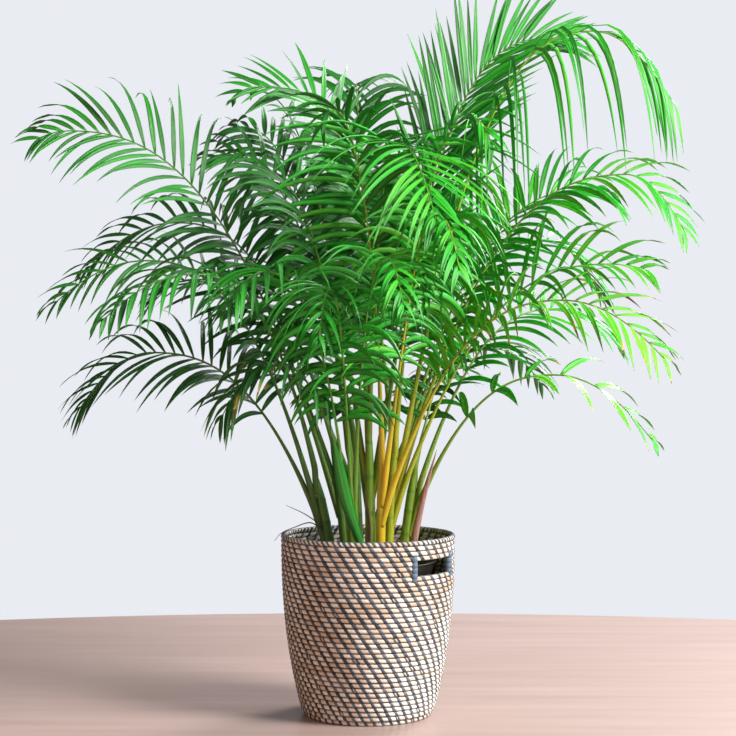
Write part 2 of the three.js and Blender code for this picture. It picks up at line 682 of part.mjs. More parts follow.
// The first leaflet that passes its neighbours. A crowded one is swung aside or grows shorter.
function growLeaflet(name, pair, root, frame, side, length) {
  const seed = pair * 2 + side + name.length;
  for (const short of SHORTENINGS) {
    for (const swing of LEAFLET_SWINGS) {
      const leaflet = leafletAt(FRONDS[name], root, frame, side, length * short, swing, seed);
      const radii = [LEAFLET_FOOT / 2, LEAFLET_WIDTH / 2, LEAFLET_WIDTH / 4];
      const stretches = stretchesOf(leaflet.line, radii, `${name} ${pair}`);
      if (isClear(stretches, [name, `${name} ${pair}`])) {
        placed.push(...stretches);
        return leaflet;
      }
    }
  }
  return null;
}

// The skin of a frond: a square midrib, whose side faces open into leaflets.
// Each ring has four corners. Face 0 is the right side, and face 2 is the left side.
function frondSkin(rings, leaflets, tip) {
  const points = rings.flat();
  const triangles = [];
  const fan = (apex, loop) => loop.forEach((point, k) => (
    triangles.push(point, loop[(k + 1) % loop.length], apex)));
  const corner = (ring, k) => 4 * ring + (k % 4);
  triangles.push(corner(0, 3), corner(0, 2), corner(0, 1), corner(0, 3), corner(0, 1), corner(0, 0));
  for (let ring = 0; ring + 1 < rings.length; ring += 1) {
    for (let face = 0; face < 4; face += 1) {
      const [a, b] = [corner(ring, face), corner(ring, face + 1)];
      const [c, d] = [corner(ring + 1, face + 1), corner(ring + 1, face)];
      const leaflet = leaflets[`${ring} ${face}`];
      if (!leaflet) {
        triangles.push(a, b, c, a, c, d);
        continue;
      }
      const [q0, q1, q2, q3] = face === 0 ? [b, c, d, a] : [d, a, b, c];
      const m = points.length;
      points.push(...(face === 0 ? [leaflet.aft, leaflet.fore] : [leaflet.fore, leaflet.aft]));
      points.push(leaflet.ridge, leaflet.tip);
      triangles.push(q0, q1, m + 1, q0, m + 1, m);
      triangles.push(q1, q2, m + 2, q1, m + 2, m + 1, q2, q3, m + 2);
      triangles.push(q3, q0, m, q3, m, m + 2);
      fan(m + 3, [m, m + 1, m + 2]);
    }
  }
  points.push(tip);
  fan(points.length - 1, [0, 1, 2, 3].map((k) => corner(rings.length - 1, k)));
  const geometry = new THREE.BufferGeometry().setFromPoints(points);
  geometry.setIndex(triangles);
  geometry.computeVertexNormals();
  return geometry;
}

function midribRing(centre, frame, half) {
  return [[1, 1], [1, -1], [-1, -1], [-1, 1]].map(([side, over]) => centre.clone()
    .addScaledVector(frame.side, side * half)
    .addScaledVector(frame.over, over * half));
}

const AHEAD = 0.02; // share of a midrib over which its direction is taken
for (const [name, frond] of Object.entries(FRONDS)) {
  const rings = [];
  const leaflets = {};
  for (const { share, pair } of stations) {
    const here = midribPoint(name, swingOf[name], share);
    const along = midribPoint(name, swingOf[name], share + AHEAD).sub(here).normalize();
    const frame = midribFrame(frond, along);
    const half = MIDRIB_SQUARE * midribRadius(share);
    rings.push(midribRing(here, frame, half));
    if (pair === undefined) continue;
    const length = leafletLength(frond, pair / (PAIRS - 1));
    const far = here.clone().addScaledVector(along, LEAFLET_FOOT);
    [1, -1].forEach((sign) => {
      const root = here.clone().lerp(far, 0.5).addScaledVector(frame.side, sign * half);
      const leaflet = growLeaflet(name, pair, root, frame, sign, length);
      if (leaflet) leaflets[`${rings.length - 1} ${sign > 0 ? 0 : 2}`] = leaflet;
    });
    rings.push(midribRing(far, frame, half));
  }
  add(`frond_${name}`, frondSkin(rings, leaflets, midribPoint(name, swingOf[name], 1)), LOOKS.leaf);
}

export default group;
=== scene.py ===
"""An areca palm in a nursery pot inside a coiled basket, in metres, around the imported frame."""

import math
import random

import bpy
import numpy as np
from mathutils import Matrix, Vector


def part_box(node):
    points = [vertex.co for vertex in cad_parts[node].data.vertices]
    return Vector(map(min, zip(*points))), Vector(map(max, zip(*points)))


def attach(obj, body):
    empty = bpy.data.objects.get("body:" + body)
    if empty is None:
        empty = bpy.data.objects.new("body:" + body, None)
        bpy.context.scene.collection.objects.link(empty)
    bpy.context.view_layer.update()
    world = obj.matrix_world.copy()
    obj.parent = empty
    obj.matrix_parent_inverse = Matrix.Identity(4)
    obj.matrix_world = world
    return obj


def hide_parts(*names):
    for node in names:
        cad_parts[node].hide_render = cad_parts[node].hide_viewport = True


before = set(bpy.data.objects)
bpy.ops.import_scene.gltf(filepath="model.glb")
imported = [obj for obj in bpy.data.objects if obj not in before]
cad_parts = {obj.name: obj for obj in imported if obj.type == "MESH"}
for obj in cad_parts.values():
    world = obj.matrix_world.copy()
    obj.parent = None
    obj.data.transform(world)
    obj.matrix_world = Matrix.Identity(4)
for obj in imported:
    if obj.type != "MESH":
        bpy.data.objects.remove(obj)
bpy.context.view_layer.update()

# ---------------------------------------------------------------- sizes, from the frame
MM = 0.001
UP = np.array([0.0, 0.0, 1.0])

BASKET_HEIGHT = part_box("rim_coil")[1].z
RIM_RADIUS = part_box("rim_coil")[1].x
FOOT_RADIUS = 120 * MM
CORNER = 10 * MM
# How early the wall flares. 1 would be a straight cone.
SWELL = 2.4
COIL = 8.5 * MM
COURSES = 37
PITCH = BASKET_HEIGHT / COURSES
FLOOR_TURNS = 12
COIL_SIDES = 14
# The power of the coil's section. 1 would be round, and less is squarer.
COIL_SQUARE = 0.6
REED_BULGE = 0.9 * MM

STITCHES = 48
STITCH_SHARE = 0.48
STITCH_LEAN = 6.2 * MM
SPLIT_STITCHES = 0.05
# A strand's section: shares of half its width, and millimetres over the coil.
STITCH_SECTION = [(-1, -0.5), (-0.7, 0.45), (0, 0.65), (0.7, 0.45), (1, -0.5), (0, -1.4)]

HANDLE_HEADINGS = (-40, 140)
HANDLE_WIDTH = 100 * MM
HANDLE_COURSES = range(30, 33)
POST_RADIUS = 7.3 * MM
POST_HEIGHT = 47 * MM
POST_WINDS = 15
WIND_DEPTH = 0.7 * MM

POT_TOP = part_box("nursery_pot")[1].z
POT_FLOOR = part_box("nursery_pot")[0].z
POT_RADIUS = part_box("nursery_pot")[1].x
SAUCER_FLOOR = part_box("drip_saucer")[0].z
SAUCER_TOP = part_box("drip_saucer")[1].z
SAUCER_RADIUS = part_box("drip_saucer")[1].x
SOIL_TOP = POT_TOP - 20 * MM
CRUMBS = 420

CANE_RADIUS = 9.5 * MM
CANE_TAPER = 0.16
# The last of a cane narrows under its crown.
NECK_START = 0.82
NECK_NARROWING = 0.55
SCAR_HEIGHT = 0.35 * MM
ROOT_DEPTH = 60 * MM
STEM_BOW = 4 * MM

CROWN_SPREAD = 650 * MM
CROWN_HEIGHT = 1030 * MM
ARCH_POWER = 2.5
PETIOLE_RADIUS = 3.2 * MM
PETIOLE_SWELL = 2.6 * MM
PETIOLE_SPACING = 36 * MM
PETIOLE_GAP = 0.3 * MM
PETIOLE_ROWS = 48
PETIOLE_SIDES = 10
SHEATH_RADIUS = CANE_RADIUS * 0.62
TIP_RADIUS = 1.0 * MM
MIDRIB_BOW = 12
# The stretch of the midrib that carries leaflets, as shares of its length.
BLADE_START = 0.34
BLADE_END = 0.992

LEAFLET_SPACING = 23 * MM
LEAFLET_STRETCH = 1.08
LEAFLET_WIDTH = 14 * MM
LEAFLET_THICKNESS = 0.45 * MM
# Degrees away from the midrib at its start and at its tip, and degrees over the frond's plane.
LEAFLET_SWEEP = 66
TIP_SWEEP = 28
LEAFLET_LIFT = 22
LEAFLET_HANG = 0.75

WANDER_SEED = 11
REED_SEED = 5
STITCH_SEED = 23
CRUMB_SEED = 41

CAMERA_LENS = 75.5
CAMERA_DISTANCE = 2.85
CAMERA_HEIGHT = 0.635
FLOOR_RADIUS = 4.0
LIGHT_AIM = (0, 0, 0.7)

# Each cane: where it leaves the soil, as shares of the pot's radius, how far its crown leans out from
# there, in millimetres, the crown's height above the soil, and its tone from 0, dark green, to 1, yellow.
CANES = {
    "left": {"foot": (-0.47, -0.11), "lean": (-34, 2), "height": 170, "tone": 0.1},
    "left_inner": {"foot": (-0.31, 0.14), "lean": (-20, 6), "height": 215, "tone": 0.2},
    "front_left": {"foot": (-0.17, -0.31), "lean": (-8, -12), "height": 190, "tone": 0.3},
    "back_left": {"foot": (-0.12, 0.36), "lean": (-10, 16), "height": 235, "tone": 0.2},
    "middle": {"foot": (0.03, 0.05), "lean": (-2, 2), "height": 265, "tone": 0.4},
    "front_right": {"foot": (0.17, -0.33), "lean": (4, -12), "height": 205, "tone": 0.85},
    "right_inner": {"foot": (0.28, -0.05), "lean": (14, 0), "height": 235, "tone": 0.65},
    "right": {"foot": (0.48, 0.08), "lean": (24, 4), "height": 180, "tone": 0.4},
    "back_right": {"foot": (0.27, 0.34), "lean": (12, 18), "height": 225, "tone": 0.4},
    "back": {"foot": (0.05, 0.58), "lean": (-2, 18), "height": 190, "tone": 0.3},
}

# cane: the one it grows from. heading: degrees from +X. reach, peak, tip: shares of the crown.
# crest: where along the ground the frond is highest. arch: how early it rises.
# leaf: longest leaflet in millimetres. roll: degrees that the frond turns about its midrib.
# sweep, lift, hang, spacing, width: as the leaflet sizes above, the last two as shares of them.
# tone: 0 dark green to 1 yellow green; fronds differ in their own tone, and the lower and back ones are set
# darker as painted shade. dry: how brown its tips are.
FRONDS = {
    "left_high": dict(cane="left_inner", heading=182, reach=0.93, peak=0.785, tip=0.77, crest=0.9,
        leaf=175, roll=58, hang=0.6, spacing=0.9, width=0.85, tone=0.3),
    "left_middle": dict(cane="left_inner", heading=168, reach=0.84, peak=0.63, tip=0.55, crest=0.65,
        leaf=160, roll=40, width=0.8, tone=0.2),
    "left_level": dict(cane="left", heading=191, reach=0.87, peak=0.55, tip=0.475, crest=0.65,
        leaf=145, roll=35, width=0.8, tone=0.22),
    "left_front": dict(cane="left", heading=212, reach=0.8, peak=0.52, tip=0.44, crest=0.6,
        leaf=140, roll=20, hang=1.3, tone=0.3),
    "left_low": dict(cane="left", heading=176, reach=0.83, peak=0.39, tip=0.29, crest=0.7,
        leaf=175, roll=35, spacing=0.75, width=0.75, tone=0.15),
    "left_small": dict(cane="back_left", heading=164, reach=0.4, peak=0.35, tip=0.31, crest=0.7,
        leaf=85, roll=30, tone=0.1, dry=0.6),
    "left_back": dict(cane="left_inner", heading=154, reach=0.74, peak=0.53, tip=0.48, crest=0.75,
        leaf=150, roll=35, width=0.85, tone=0.15),
    "upper_left": dict(cane="back_left", heading=166, reach=0.46, peak=0.755, tip=0.75, crest=0.95,
        leaf=165, roll=45, spacing=0.85, tone=0.25),
    "upper_back_left": dict(cane="back_left", heading=146, reach=0.5, peak=0.82, tip=0.81, crest=0.95,
        leaf=160, roll=35, spacing=0.85, tone=0.3),
    "top_left": dict(cane="back_right", heading=176, reach=0.36, peak=0.87, tip=0.86, crest=0.9, arch=4,
        leaf=165, roll=45, sweep=85, lift=12, hang=0.25, spacing=0.75, tone=0.35),
    "top_sprig": dict(cane="middle", heading=140, reach=0.54, peak=0.89, tip=0.88, crest=0.85,
        leaf=75, spacing=2.2, tone=0.3, dry=0.5),
    "top_back": dict(cane="middle", heading=96, reach=0.44, peak=0.91, tip=0.88, crest=0.8,
        leaf=165, spacing=0.8, tone=0.3),
    "top_right": dict(cane="middle", heading=12, reach=0.6, peak=0.97, tip=0.97, crest=1, arch=3.2,
        leaf=205, roll=-70, sweep=30, lift=12, hang=0.15, spacing=0.58, width=0.85, tone=0.42),
    "right_high": dict(cane="right_inner", heading=356, reach=0.84, peak=0.96, tip=0.845, crest=0.72,
        leaf=330, hang=5, spacing=1.4, width=0.7, tone=0.6),
    "front_high": dict(cane="middle", heading=290, reach=0.5, peak=0.745, tip=0.6, crest=0.45,
        leaf=250, sweep=84, lift=15, hang=0.8, spacing=0.75, width=0.85, tone=0.6),
    "front_right": dict(cane="front_right", heading=292, reach=0.6, peak=0.61, tip=0.52, crest=0.7,
        leaf=165, hang=1.4, tone=0.62),
    "front_middle": dict(cane="front_left", heading=278, reach=0.62, peak=0.54, tip=0.46, crest=0.7,
        leaf=160, hang=1.4, tone=0.55),
    "front_low": dict(cane="front_left", heading=258, reach=0.58, peak=0.49, tip=0.41, crest=0.7,
        leaf=160, hang=1.5, tone=0.45),
    "front_left": dict(cane="front_left", heading=234, reach=0.62, peak=0.52, tip=0.45, crest=0.7,
        leaf=165, hang=1.3, tone=0.38),
    "right_arch": dict(cane="right_inner", heading=350, reach=0.88, peak=0.7, tip=0.6, crest=0.8,
        leaf=150, roll=-40, width=0.85, tone=0.68, dry=0.2),
    "right_dense": dict(cane="back_right", heading=20, reach=0.78, peak=0.7, tip=0.68, crest=0.9,
        leaf=170, roll=-35, tone=0.6),
    "right_upright": dict(cane="right_inner", heading=342, reach=0.78, peak=0.54, tip=0.53, crest=0.85,
        leaf=165, roll=-45, lift=45, width=0.8, tone=0.7, dry=0.3),
    "right_front": dict(cane="front_right", heading=330, reach=0.87, peak=0.475, tip=0.38, crest=0.65,
        leaf=145, roll=-35, width=0.8, tone=0.85, dry=0.7),
    "right_low": dict(cane="right", heading=353, reach=0.79, peak=0.35, tip=0.24, crest=0.6,
        leaf=120, roll=-25, spacing=2.2, width=1.25, tone=0.75, dry=0.4),
    "right_small": dict(cane="right", heading=48, reach=0.38, peak=0.37, tip=0.36, crest=0.95,
        leaf=95, roll=-20, tone=0.2),
    "right_back": dict(cane="right", heading=26, reach=0.85, peak=0.475, tip=0.41, crest=0.7,
        leaf=145, roll=-30, width=0.85, tone=0.55, dry=0.2),
    "right_far": dict(cane="back_right", heading=35, reach=0.91, peak=0.61, tip=0.5, crest=0.7,
        leaf=155, roll=-25, width=0.8, tone=0.5),
    "back_left": dict(cane="back", heading=122, reach=0.8, peak=0.56, tip=0.5, crest=0.75,
        leaf=145, tone=0.25),
    "back_right": dict(cane="back", heading=62, reach=0.82, peak=0.63, tip=0.57, crest=0.75,
        leaf=145, tone=0.3),
    "back_high": dict(cane="back", heading=94, reach=0.72, peak=0.75, tip=0.7, crest=0.75,
        leaf=145, tone=0.3),
    "back_low": dict(cane="back", heading=46, reach=0.8, peak=0.4, tip=0.33, crest=0.7,
        leaf=135, tone=0.2),
    "left_inner_high": dict(cane="front_left", heading=196, reach=0.36, peak=0.7, tip=0.66, crest=0.8,
        leaf=175, roll=40, tone=0.25),
    "centre_high": dict(cane="front_right", heading=246, reach=0.3, peak=0.8, tip=0.77, crest=0.85,
        leaf=170, sweep=60, hang=0.9, tone=0.35),
    "right_inner_high": dict(cane="right_inner", heading=322, reach=0.42, peak=0.79, tip=0.74, crest=0.8,
        leaf=170, roll=-30, tone=0.5),
    "left_hanging": dict(cane="front_left", heading=206, reach=0.44, peak=0.37, tip=0.28, crest=0.6,
        leaf=150, roll=20, hang=1.6, tone=0.15, dry=0.7),
}

# foot, lean and height: as for the canes. width, and bend sideways at mid height: in millimetres.
# curl: how deep the trough is, as a share of the width.
STRIPS = {
    "dry_sheath_narrow": {
        "foot": (0, -0.22), "lean": (-4, -12), "height": 150, "width": 7, "curl": 0.5, "bend": 4},
    "dry_sheath_broad": {
        "foot": (0.59, -0.17), "lean": (50, -12), "height": 225, "width": 12, "curl": 0.6, "bend": -4},
    "spear_leaf": {
        "foot": (0.03, -0.5), "lean": (-66, -32), "height": 250, "width": 12, "curl": 0.5, "bend": -8},
}
# Points in millimetres, with heights measured from the rim.
FIBRES = {
    "dry_fibre_bent": [(-80, -26, 3), (-104, -31, 22), (-135, -37, 14), (-158, -41, 4),
                       (-170, -44, -10)],
    "dry_fibre_straight": [(-82, -27, 15), (-116, -29, 38), (-150, -30, 54)],
}


# ---------------------------------------------------------------- camera
def add_camera():
    camera = bpy.data.objects.new("camera", bpy.data.cameras.new("camera"))
    camera.data.lens = CAMERA_LENS
    camera.data.sensor_width = 36
    camera.location = (0, -CAMERA_DISTANCE, CAMERA_HEIGHT)
    camera.rotation_euler = (math.radians(90), 0, 0)
    bpy.context.scene.collection.objects.link(camera)
    bpy.context.scene.camera = camera


add_camera()


# ---------------------------------------------------------------- materials
def add_node(tree, kind, inputs=None, **settings):
    made = tree.nodes.new(kind)
    for key, value in settings.items():
        setattr(made, key, value)
    for key, value in (inputs or {}).items():
        if isinstance(value, bpy.types.NodeSocket):
            tree.links.new(value, made.inputs[key])
        else:
            made.inputs[key].default_value = value
    return made


def start_material(name, roughness):
    material = bpy.data.materials.new(name)
    material.use_nodes = True
    tree = material.node_tree
    shader = tree.nodes["Principled BSDF"]
    shader.inputs["Roughness"].default_value = roughness
    return material, tree, shader


def place(tree):
    """The object's own coordinates, in metres."""
    return add_node(tree, "ShaderNodeTexCoord").outputs["Object"]


def noise(tree, vector, scale, detail=3.0, roughness=0.55):
    made = add_node(tree, "ShaderNodeTexNoise",
                    {"Vector": vector, "Scale": scale, "Detail": detail, "Roughness": roughness})
    return made.outputs["Fac"]


def ramp(tree, factor, stops):
    made = add_node(tree, "ShaderNodeValToRGB", {"Fac": factor})
    elements = made.color_ramp.elements
    while len(elements) < len(stops):
        elements.new(0.5)
    for element, (position, colour) in zip(elements, stops):
        element.position = position
        element.color = (*colour, 1)
    return made.outputs["Color"]


def maths(tree, operation, first, second=0.0, third=0.0):
    made = add_node(tree, "ShaderNodeMath", operation=operation)
    for socket, value in zip(made.inputs, (first, second, third)):
        if isinstance(value, bpy.types.NodeSocket):
            tree.links.new(value, socket)
        else:
            socket.default_value = value
    return made.outputs[0]


def mix(tree, factor, first, second, blend="MIX"):
    made = add_node(tree, "ShaderNodeMix", data_type="RGBA", blend_type=blend)
    for socket, value in ((made.inputs[0], factor), (made.inputs[6], first), (made.inputs[7], second)):
        if isinstance(value, bpy.types.NodeSocket):
            tree.links.new(value, socket)
        else:
            socket.default_value = value if isinstance(value, float) else (*value, 1)
    return made.outputs[2]


def bump(tree, shader, height, distance, strength=0.6):
    made = add_node(tree, "ShaderNodeBump",
                    {"Height": height, "Distance": distance, "Strength": strength})
    tree.links.new(made.outputs["Normal"], shader.inputs["Normal"])


def read_growth(tree):
    """The three numbers kept at each point: share along the piece, place across it, and tone. On the
    basket's reed and stitches the second number is painted groove shade.
    """
    made = add_node(tree, "ShaderNodeAttribute", attribute_name="growth")
    parts = add_node(tree, "ShaderNodeSeparateXYZ", {"Vector": made.outputs["Vector"]})
    return parts.outputs[0], parts.outputs[1], parts.outputs[2]


def leaf_material():
    material, tree, shader = start_material("palm_leaf", 0.38)
    along, across, tone = read_growth(tree)
    here = place(tree)
    patch = noise(tree, here, 9.0)
    shade = maths(tree, "ADD", tone, maths(tree, "MULTIPLY_ADD", patch, 0.36, -0.18))
    green = ramp(tree, shade, [
        (0.0, (0.002, 0.060, 0.008)),
        (0.3, (0.002, 0.180, 0.008)),
        (0.6, (0.008, 0.420, 0.010)),
        (1.0, (0.220, 0.680, 0.030)),
    ])
    # Fine veins run the length of a leaflet, and its middle rib is paler.
    veins = maths(tree, "SINE", maths(tree, "MULTIPLY", across, 44.0))
    veined = mix(tree, maths(tree, "MULTIPLY_ADD", veins, 0.05, 0.05), green, (0.12, 0.42, 0.04))
    rib = maths(tree, "LESS_THAN", maths(tree, "ABSOLUTE", across), 0.09)
    ribbed = mix(tree, maths(tree, "MULTIPLY", rib, 0.4), veined, (0.16, 0.42, 0.05))
    # The last of a dry leaflet turns yellow and then brown.
    dry = add_node(tree, "ShaderNodeAttribute", attribute_name="dry").outputs["Fac"]
    edge = maths(tree, "MULTIPLY_ADD", noise(tree, here, 40.0), 0.2, -0.1)
    reach = maths(tree, "SUBTRACT", maths(tree, "ADD", along, edge), maths(tree, "SUBTRACT", 1.0, dry))
    yellowed = mix(tree, maths(tree, "SMOOTH_MIN", maths(tree, "MULTIPLY", reach, 5.0), 1.0, 0.1),
                   ribbed, (0.60, 0.48, 0.05))
    wilted = maths(tree, "GREATER_THAN", reach, 0.2)
    browned = mix(tree, wilted, yellowed, (0.16, 0.07, 0.02))
    tree.links.new(browned, shader.inputs["Base Color"])
    bump(tree, shader, veins, 0.0002, 0.5)
    shader.inputs["Specular IOR Level"].default_value = 0.45
    shader.inputs["Coat Weight"].default_value = 0.1
    shader.inputs["Coat Roughness"].default_value = 0.3
    return material


def stem_material():
    material, tree, shader = start_material("palm_stem", 0.42)
    along, _, tone = read_growth(tree)
    here = place(tree)
    streak = add_node(tree, "ShaderNodeMapping", {"Vector": here, "Scale": (1, 1, 0.06)})
    streaks = noise(tree, streak.outputs["Vector"], 260.0, 4.0)
    shade = maths(tree, "ADD", tone, maths(tree, "MULTIPLY_ADD", streaks, 0.4, -0.2))
    colour = ramp(tree, shade, [
        (0.0, (0.020, 0.085, 0.012)),
        (0.3, (0.110, 0.210, 0.018)),
        (0.6, (0.330, 0.400, 0.020)),
        (1.0, (0.800, 0.440, 0.015)),
    ])
    # Stems green towards the blade, and specks of brown gather low down.
    greened = mix(tree, maths(tree, "MULTIPLY", along, 0.8), colour, (0.060, 0.300, 0.015))
    specks = maths(tree, "GREATER_THAN", noise(tree, here, 420.0, 2.0), 0.66)
    specked = mix(tree, maths(tree, "MULTIPLY", specks, 0.5), greened, (0.10, 0.06, 0.02))
    tree.links.new(specked, shader.inputs["Base Color"])
    bump(tree, shader, streaks, 0.0004, 0.5)
    return material


def sheath_material(name, pale, dark):
    material, tree, shader = start_material(name, 0.75)
    along, _, _ = read_growth(tree)
    here = place(tree)
    streak = add_node(tree, "ShaderNodeMapping", {"Vector": here, "Scale": (1, 1, 0.05)})
    streaks = noise(tree, streak.outputs["Vector"], 320.0, 5.0)
    colour = ramp(tree, streaks, [(0.3, dark), (0.5, pale), (0.75, tuple(1.25 * c for c in pale))])
    tipped = mix(tree, maths(tree, "MULTIPLY", along, 0.5), colour, dark)
    tree.links.new(tipped, shader.inputs["Base Color"])
    bump(tree, shader, streaks, 0.0006, 0.7)
    return material


def reed_material(name, stops, fibre, roughness):
    """Split cane: each strand has its own tone, and fibres run along it."""
    material, tree, shader = start_material(name, roughness)
    _, across, tone = read_growth(tree)
    here = place(tree)
    flat = add_node(tree, "ShaderNodeMapping", {"Vector": here, "Scale": fibre})
    fibres = noise(tree, flat.outputs["Vector"], 500.0, 4.0)
    shade = maths(tree, "ADD", tone, maths(tree, "MULTIPLY_ADD", fibres, 0.5, -0.25))
    drift = maths(tree, "MULTIPLY_ADD", noise(tree, here, 6.0, 2.0), 0.9, -0.45)
    colour = ramp(tree, maths(tree, "ADD", shade, drift), stops)
    # Painted shade darkens the grooves between the courses, with some dirt there too.
    groove_shade_mask = maths(tree, "POWER", across, 4.0)
    painted_groove_shade = mix(tree, maths(tree, "MULTIPLY", groove_shade_mask, 0.93), colour, (0.020, 0.016, 0.014))
    tree.links.new(painted_groove_shade, shader.inputs["Base Color"])
    bump(tree, shader, fibres, 0.0004, 0.6)
    return material


def plastic_material(name, colour):
    material, tree, shader = start_material(name, 0.5)
    here = place(tree)
    dust = noise(tree, here, 30.0, 5.0)
    tree.links.new(mix(tree, maths(tree, "MULTIPLY_ADD", dust, 0.5, -0.1), colour, (0.16, 0.13, 0.10)),
                   shader.inputs["Base Color"])
    grain = noise(tree, here, 900.0, 2.0)
    tree.links.new(maths(tree, "MULTIPLY_ADD", dust, 0.3, 0.4), shader.inputs["Roughness"])
    bump(tree, shader, grain, 0.0002, 0.4)
    return material


def soil_material():
    material, tree, shader = start_material("potting_soil", 0.95)
    here = place(tree)
    crumbs = noise(tree, here, 180.0, 6.0, 0.7)
    colour = ramp(tree, crumbs, [
        (0.3, (0.012, 0.008, 0.005)),
        (0.55, (0.045, 0.026, 0.015)),
        (0.72, (0.120, 0.075, 0.045)),
    ])
    bark = maths(tree, "GREATER_THAN", noise(tree, here, 75.0, 2.0), 0.62)
    tree.links.new(mix(tree, maths(tree, "MULTIPLY", bark, 0.7), colour, (0.16, 0.085, 0.04)),
                   shader.inputs["Base Color"])
    bump(tree, shader, crumbs, 0.004, 1.0)
    return material


def floor_material():
    material, tree, shader = start_material("pale_floor", 0.3)
    here = place(tree)
    grain = add_node(tree, "ShaderNodeMapping", {"Vector": here, "Scale": (0.6, 9.0, 1.0)})
    streaks = noise(tree, grain.outputs["Vector"], 3.0, 5.0)
    tree.links.new(ramp(tree, streaks, [(0.3, (0.40, 0.285, 0.250)), (0.7, (0.475, 0.35, 0.315))]),
                   shader.inputs["Base Color"])
    return material


LEAF = leaf_material()
STEM = stem_material()
SHEATH = sheath_material("dry_sheath", (0.46, 0.25, 0.20), (0.16, 0.075, 0.045))
FIBRE = sheath_material("dry_fibre", (0.10, 0.08, 0.055), (0.035, 0.03, 0.02))
REED = reed_material("pale_reed", [
    (0.0, (0.40, 0.19, 0.09)), (0.4, (0.62, 0.47, 0.35)), (0.8, (0.86, 0.80, 0.73))], (1, 1, 9), 0.5)
STITCH = reed_material("slate_stitch", [
    (0.1, (0.022, 0.026, 0.033)), (0.5, (0.060, 0.072, 0.088)), (0.9, (0.14, 0.16, 0.19))], (5, 5, 1), 0.5)
BINDING = reed_material("slate_blue_binding", [
    (0.1, (0.060, 0.095, 0.140)), (0.5, (0.130, 0.190, 0.265)), (0.9, (0.24, 0.32, 0.41))], (1, 1, 8), 0.5)
BLACK = plastic_material("nursery_plastic", (0.018, 0.016, 0.015))
BROWN = plastic_material("saucer_plastic", (0.10, 0.045, 0.025))
SOIL = soil_material()


# ---------------------------------------------------------------- mesh making
class Skin:
    """Collects closed tubes into one mesh. Each tube is a row of rings with the same number of points."""

    def __init__(self):
        self.points, self.faces, self.growth, self.dry, self.slots = [], [], [], [], []
        self.count = 0

    def tube(self, rings, growth, slot=0, closed=False, dry=0.0):
        rings = np.asarray(rings, float)
        rows, sides = rings.shape[:2]
        index = np.arange(rows * sides).reshape(rows, sides) + self.count
        ahead = np.roll(index, -1, axis=0) if closed else index[1:]
        near = index if closed else index[:-1]
        quads = np.stack([near, np.roll(near, -1, axis=1), np.roll(ahead, -1, axis=1), ahead], axis=-1)
        faces = quads.reshape(-1, 4).tolist()
        if not closed:
            faces.append(index[0, ::-1].tolist())
            faces.append(index[-1].tolist())
        self.points.append(rings.reshape(-1, 3))
        self.growth.append(np.broadcast_to(np.asarray(growth, float), (rows, sides, 3)).reshape(-1, 3))
        self.dry.append(np.full(rows * sides, dry))
        self.faces += faces
        self.slots += [slot] * len(faces)
        self.count += rows * sides

    def object(self, name, materials, smooth=True):
        mesh = bpy.data.meshes.new(name)
        mesh.from_pydata(np.concatenate(self.points).tolist(), [], self.faces)
        growth = mesh.attributes.new("growth", "FLOAT_VECTOR", "POINT")
        growth.data.foreach_set("vector", np.concatenate(self.growth).astype(np.float32).ravel())
        dry = mesh.attributes.new("dry", "FLOAT", "POINT")
        dry.data.foreach_set("value", np.concatenate(self.dry).astype(np.float32))
        mesh.polygons.foreach_set("material_index", self.slots)
        mesh.polygons.foreach_set("use_smooth", [smooth] * len(self.faces))
        mesh.update()
        made = bpy.data.objects.new(name, mesh)
        for material in materials:
            mesh.materials.append(material)
        bpy.context.scene.collection.objects.link(made)
        return made


def finish_piece(piece, slot, *nodes):
    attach(piece, "root")
    if nodes:
        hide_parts(*nodes)


def unit(vector):
    return vector / np.linalg.norm(vector, axis=-1, keepdims=True)


def turned(degrees):
    return np.array([math.cos(math.radians(degrees)), math.sin(math.radians(degrees)), 0.0])


def round_rings(line, radii, sides, squash=1.0):
    """Rings around a line of points, each across the line there."""
    line = np.asarray(line, float)
    along = unit(np.gradient(line, axis=0))
    across = np.cross([0.0, 1.0, 0.0], along)
    across = unit(np.where(np.linalg.norm(across, axis=1, keepdims=True) < 0.2,
                           np.cross([1.0, 0.0, 0.0], along), across))
    over = np.cross(along, across)
    turn = np.linspace(0, 2 * np.pi, sides, endpoint=False)
    radii = np.asarray(radii, float)[:, None, None]
    return (line[:, None] + radii * np.cos(turn)[None, :, None] * across[:, None]
            + squash * radii * np.sin(turn)[None, :, None] * over[:, None])


def smooth_line(points, steps):
    """A smooth line through points (Catmull-Rom), with equal steps between each two."""
    points = np.asarray(points, float)
    padded = np.vstack([2 * points[0] - points[1], points, 2 * points[-1] - points[-2]])
    line = []
    for i in range(len(points) - 1):
        a, b, c, d = padded[i:i + 4]
        for t in np.linspace(0, 1, steps, endpoint=False):
            line.append(0.5 * (2 * b + (c - a) * t + (2 * a - 5 * b + 4 * c - d) * t ** 2
                               + (3 * b - a - 3 * c + d) * t ** 3))
    return np.array(line + [points[-1]])


def share_growth(rows, sides, tone, start=0.0, end=1.0):
    grid = np.zeros((rows, sides, 3))
    grid[..., 0] = np.linspace(start, end, rows)[:, None]
    grid[..., 1] = np.cos(np.linspace(0, 2 * np.pi, sides, endpoint=False))[None, :]
    grid[..., 2] = tone
    return grid


def lathe(name, profile, material, sides=128):
    """A turned piece from a closed profile of (radius, height) points that doesn't touch the axis."""
    turn = np.linspace(0, 2 * np.pi, sides, endpoint=False)
    radius, height = np.array(profile, float).T
    rings = np.stack([np.outer(np.cos(turn), radius), np.outer(np.sin(turn), radius),
                      np.broadcast_to(height, (sides, len(height)))], axis=-1)
    skin = Skin()
    skin.tube(rings, (0, 0, 0.5), closed=True)
    return skin.object(name, [material])


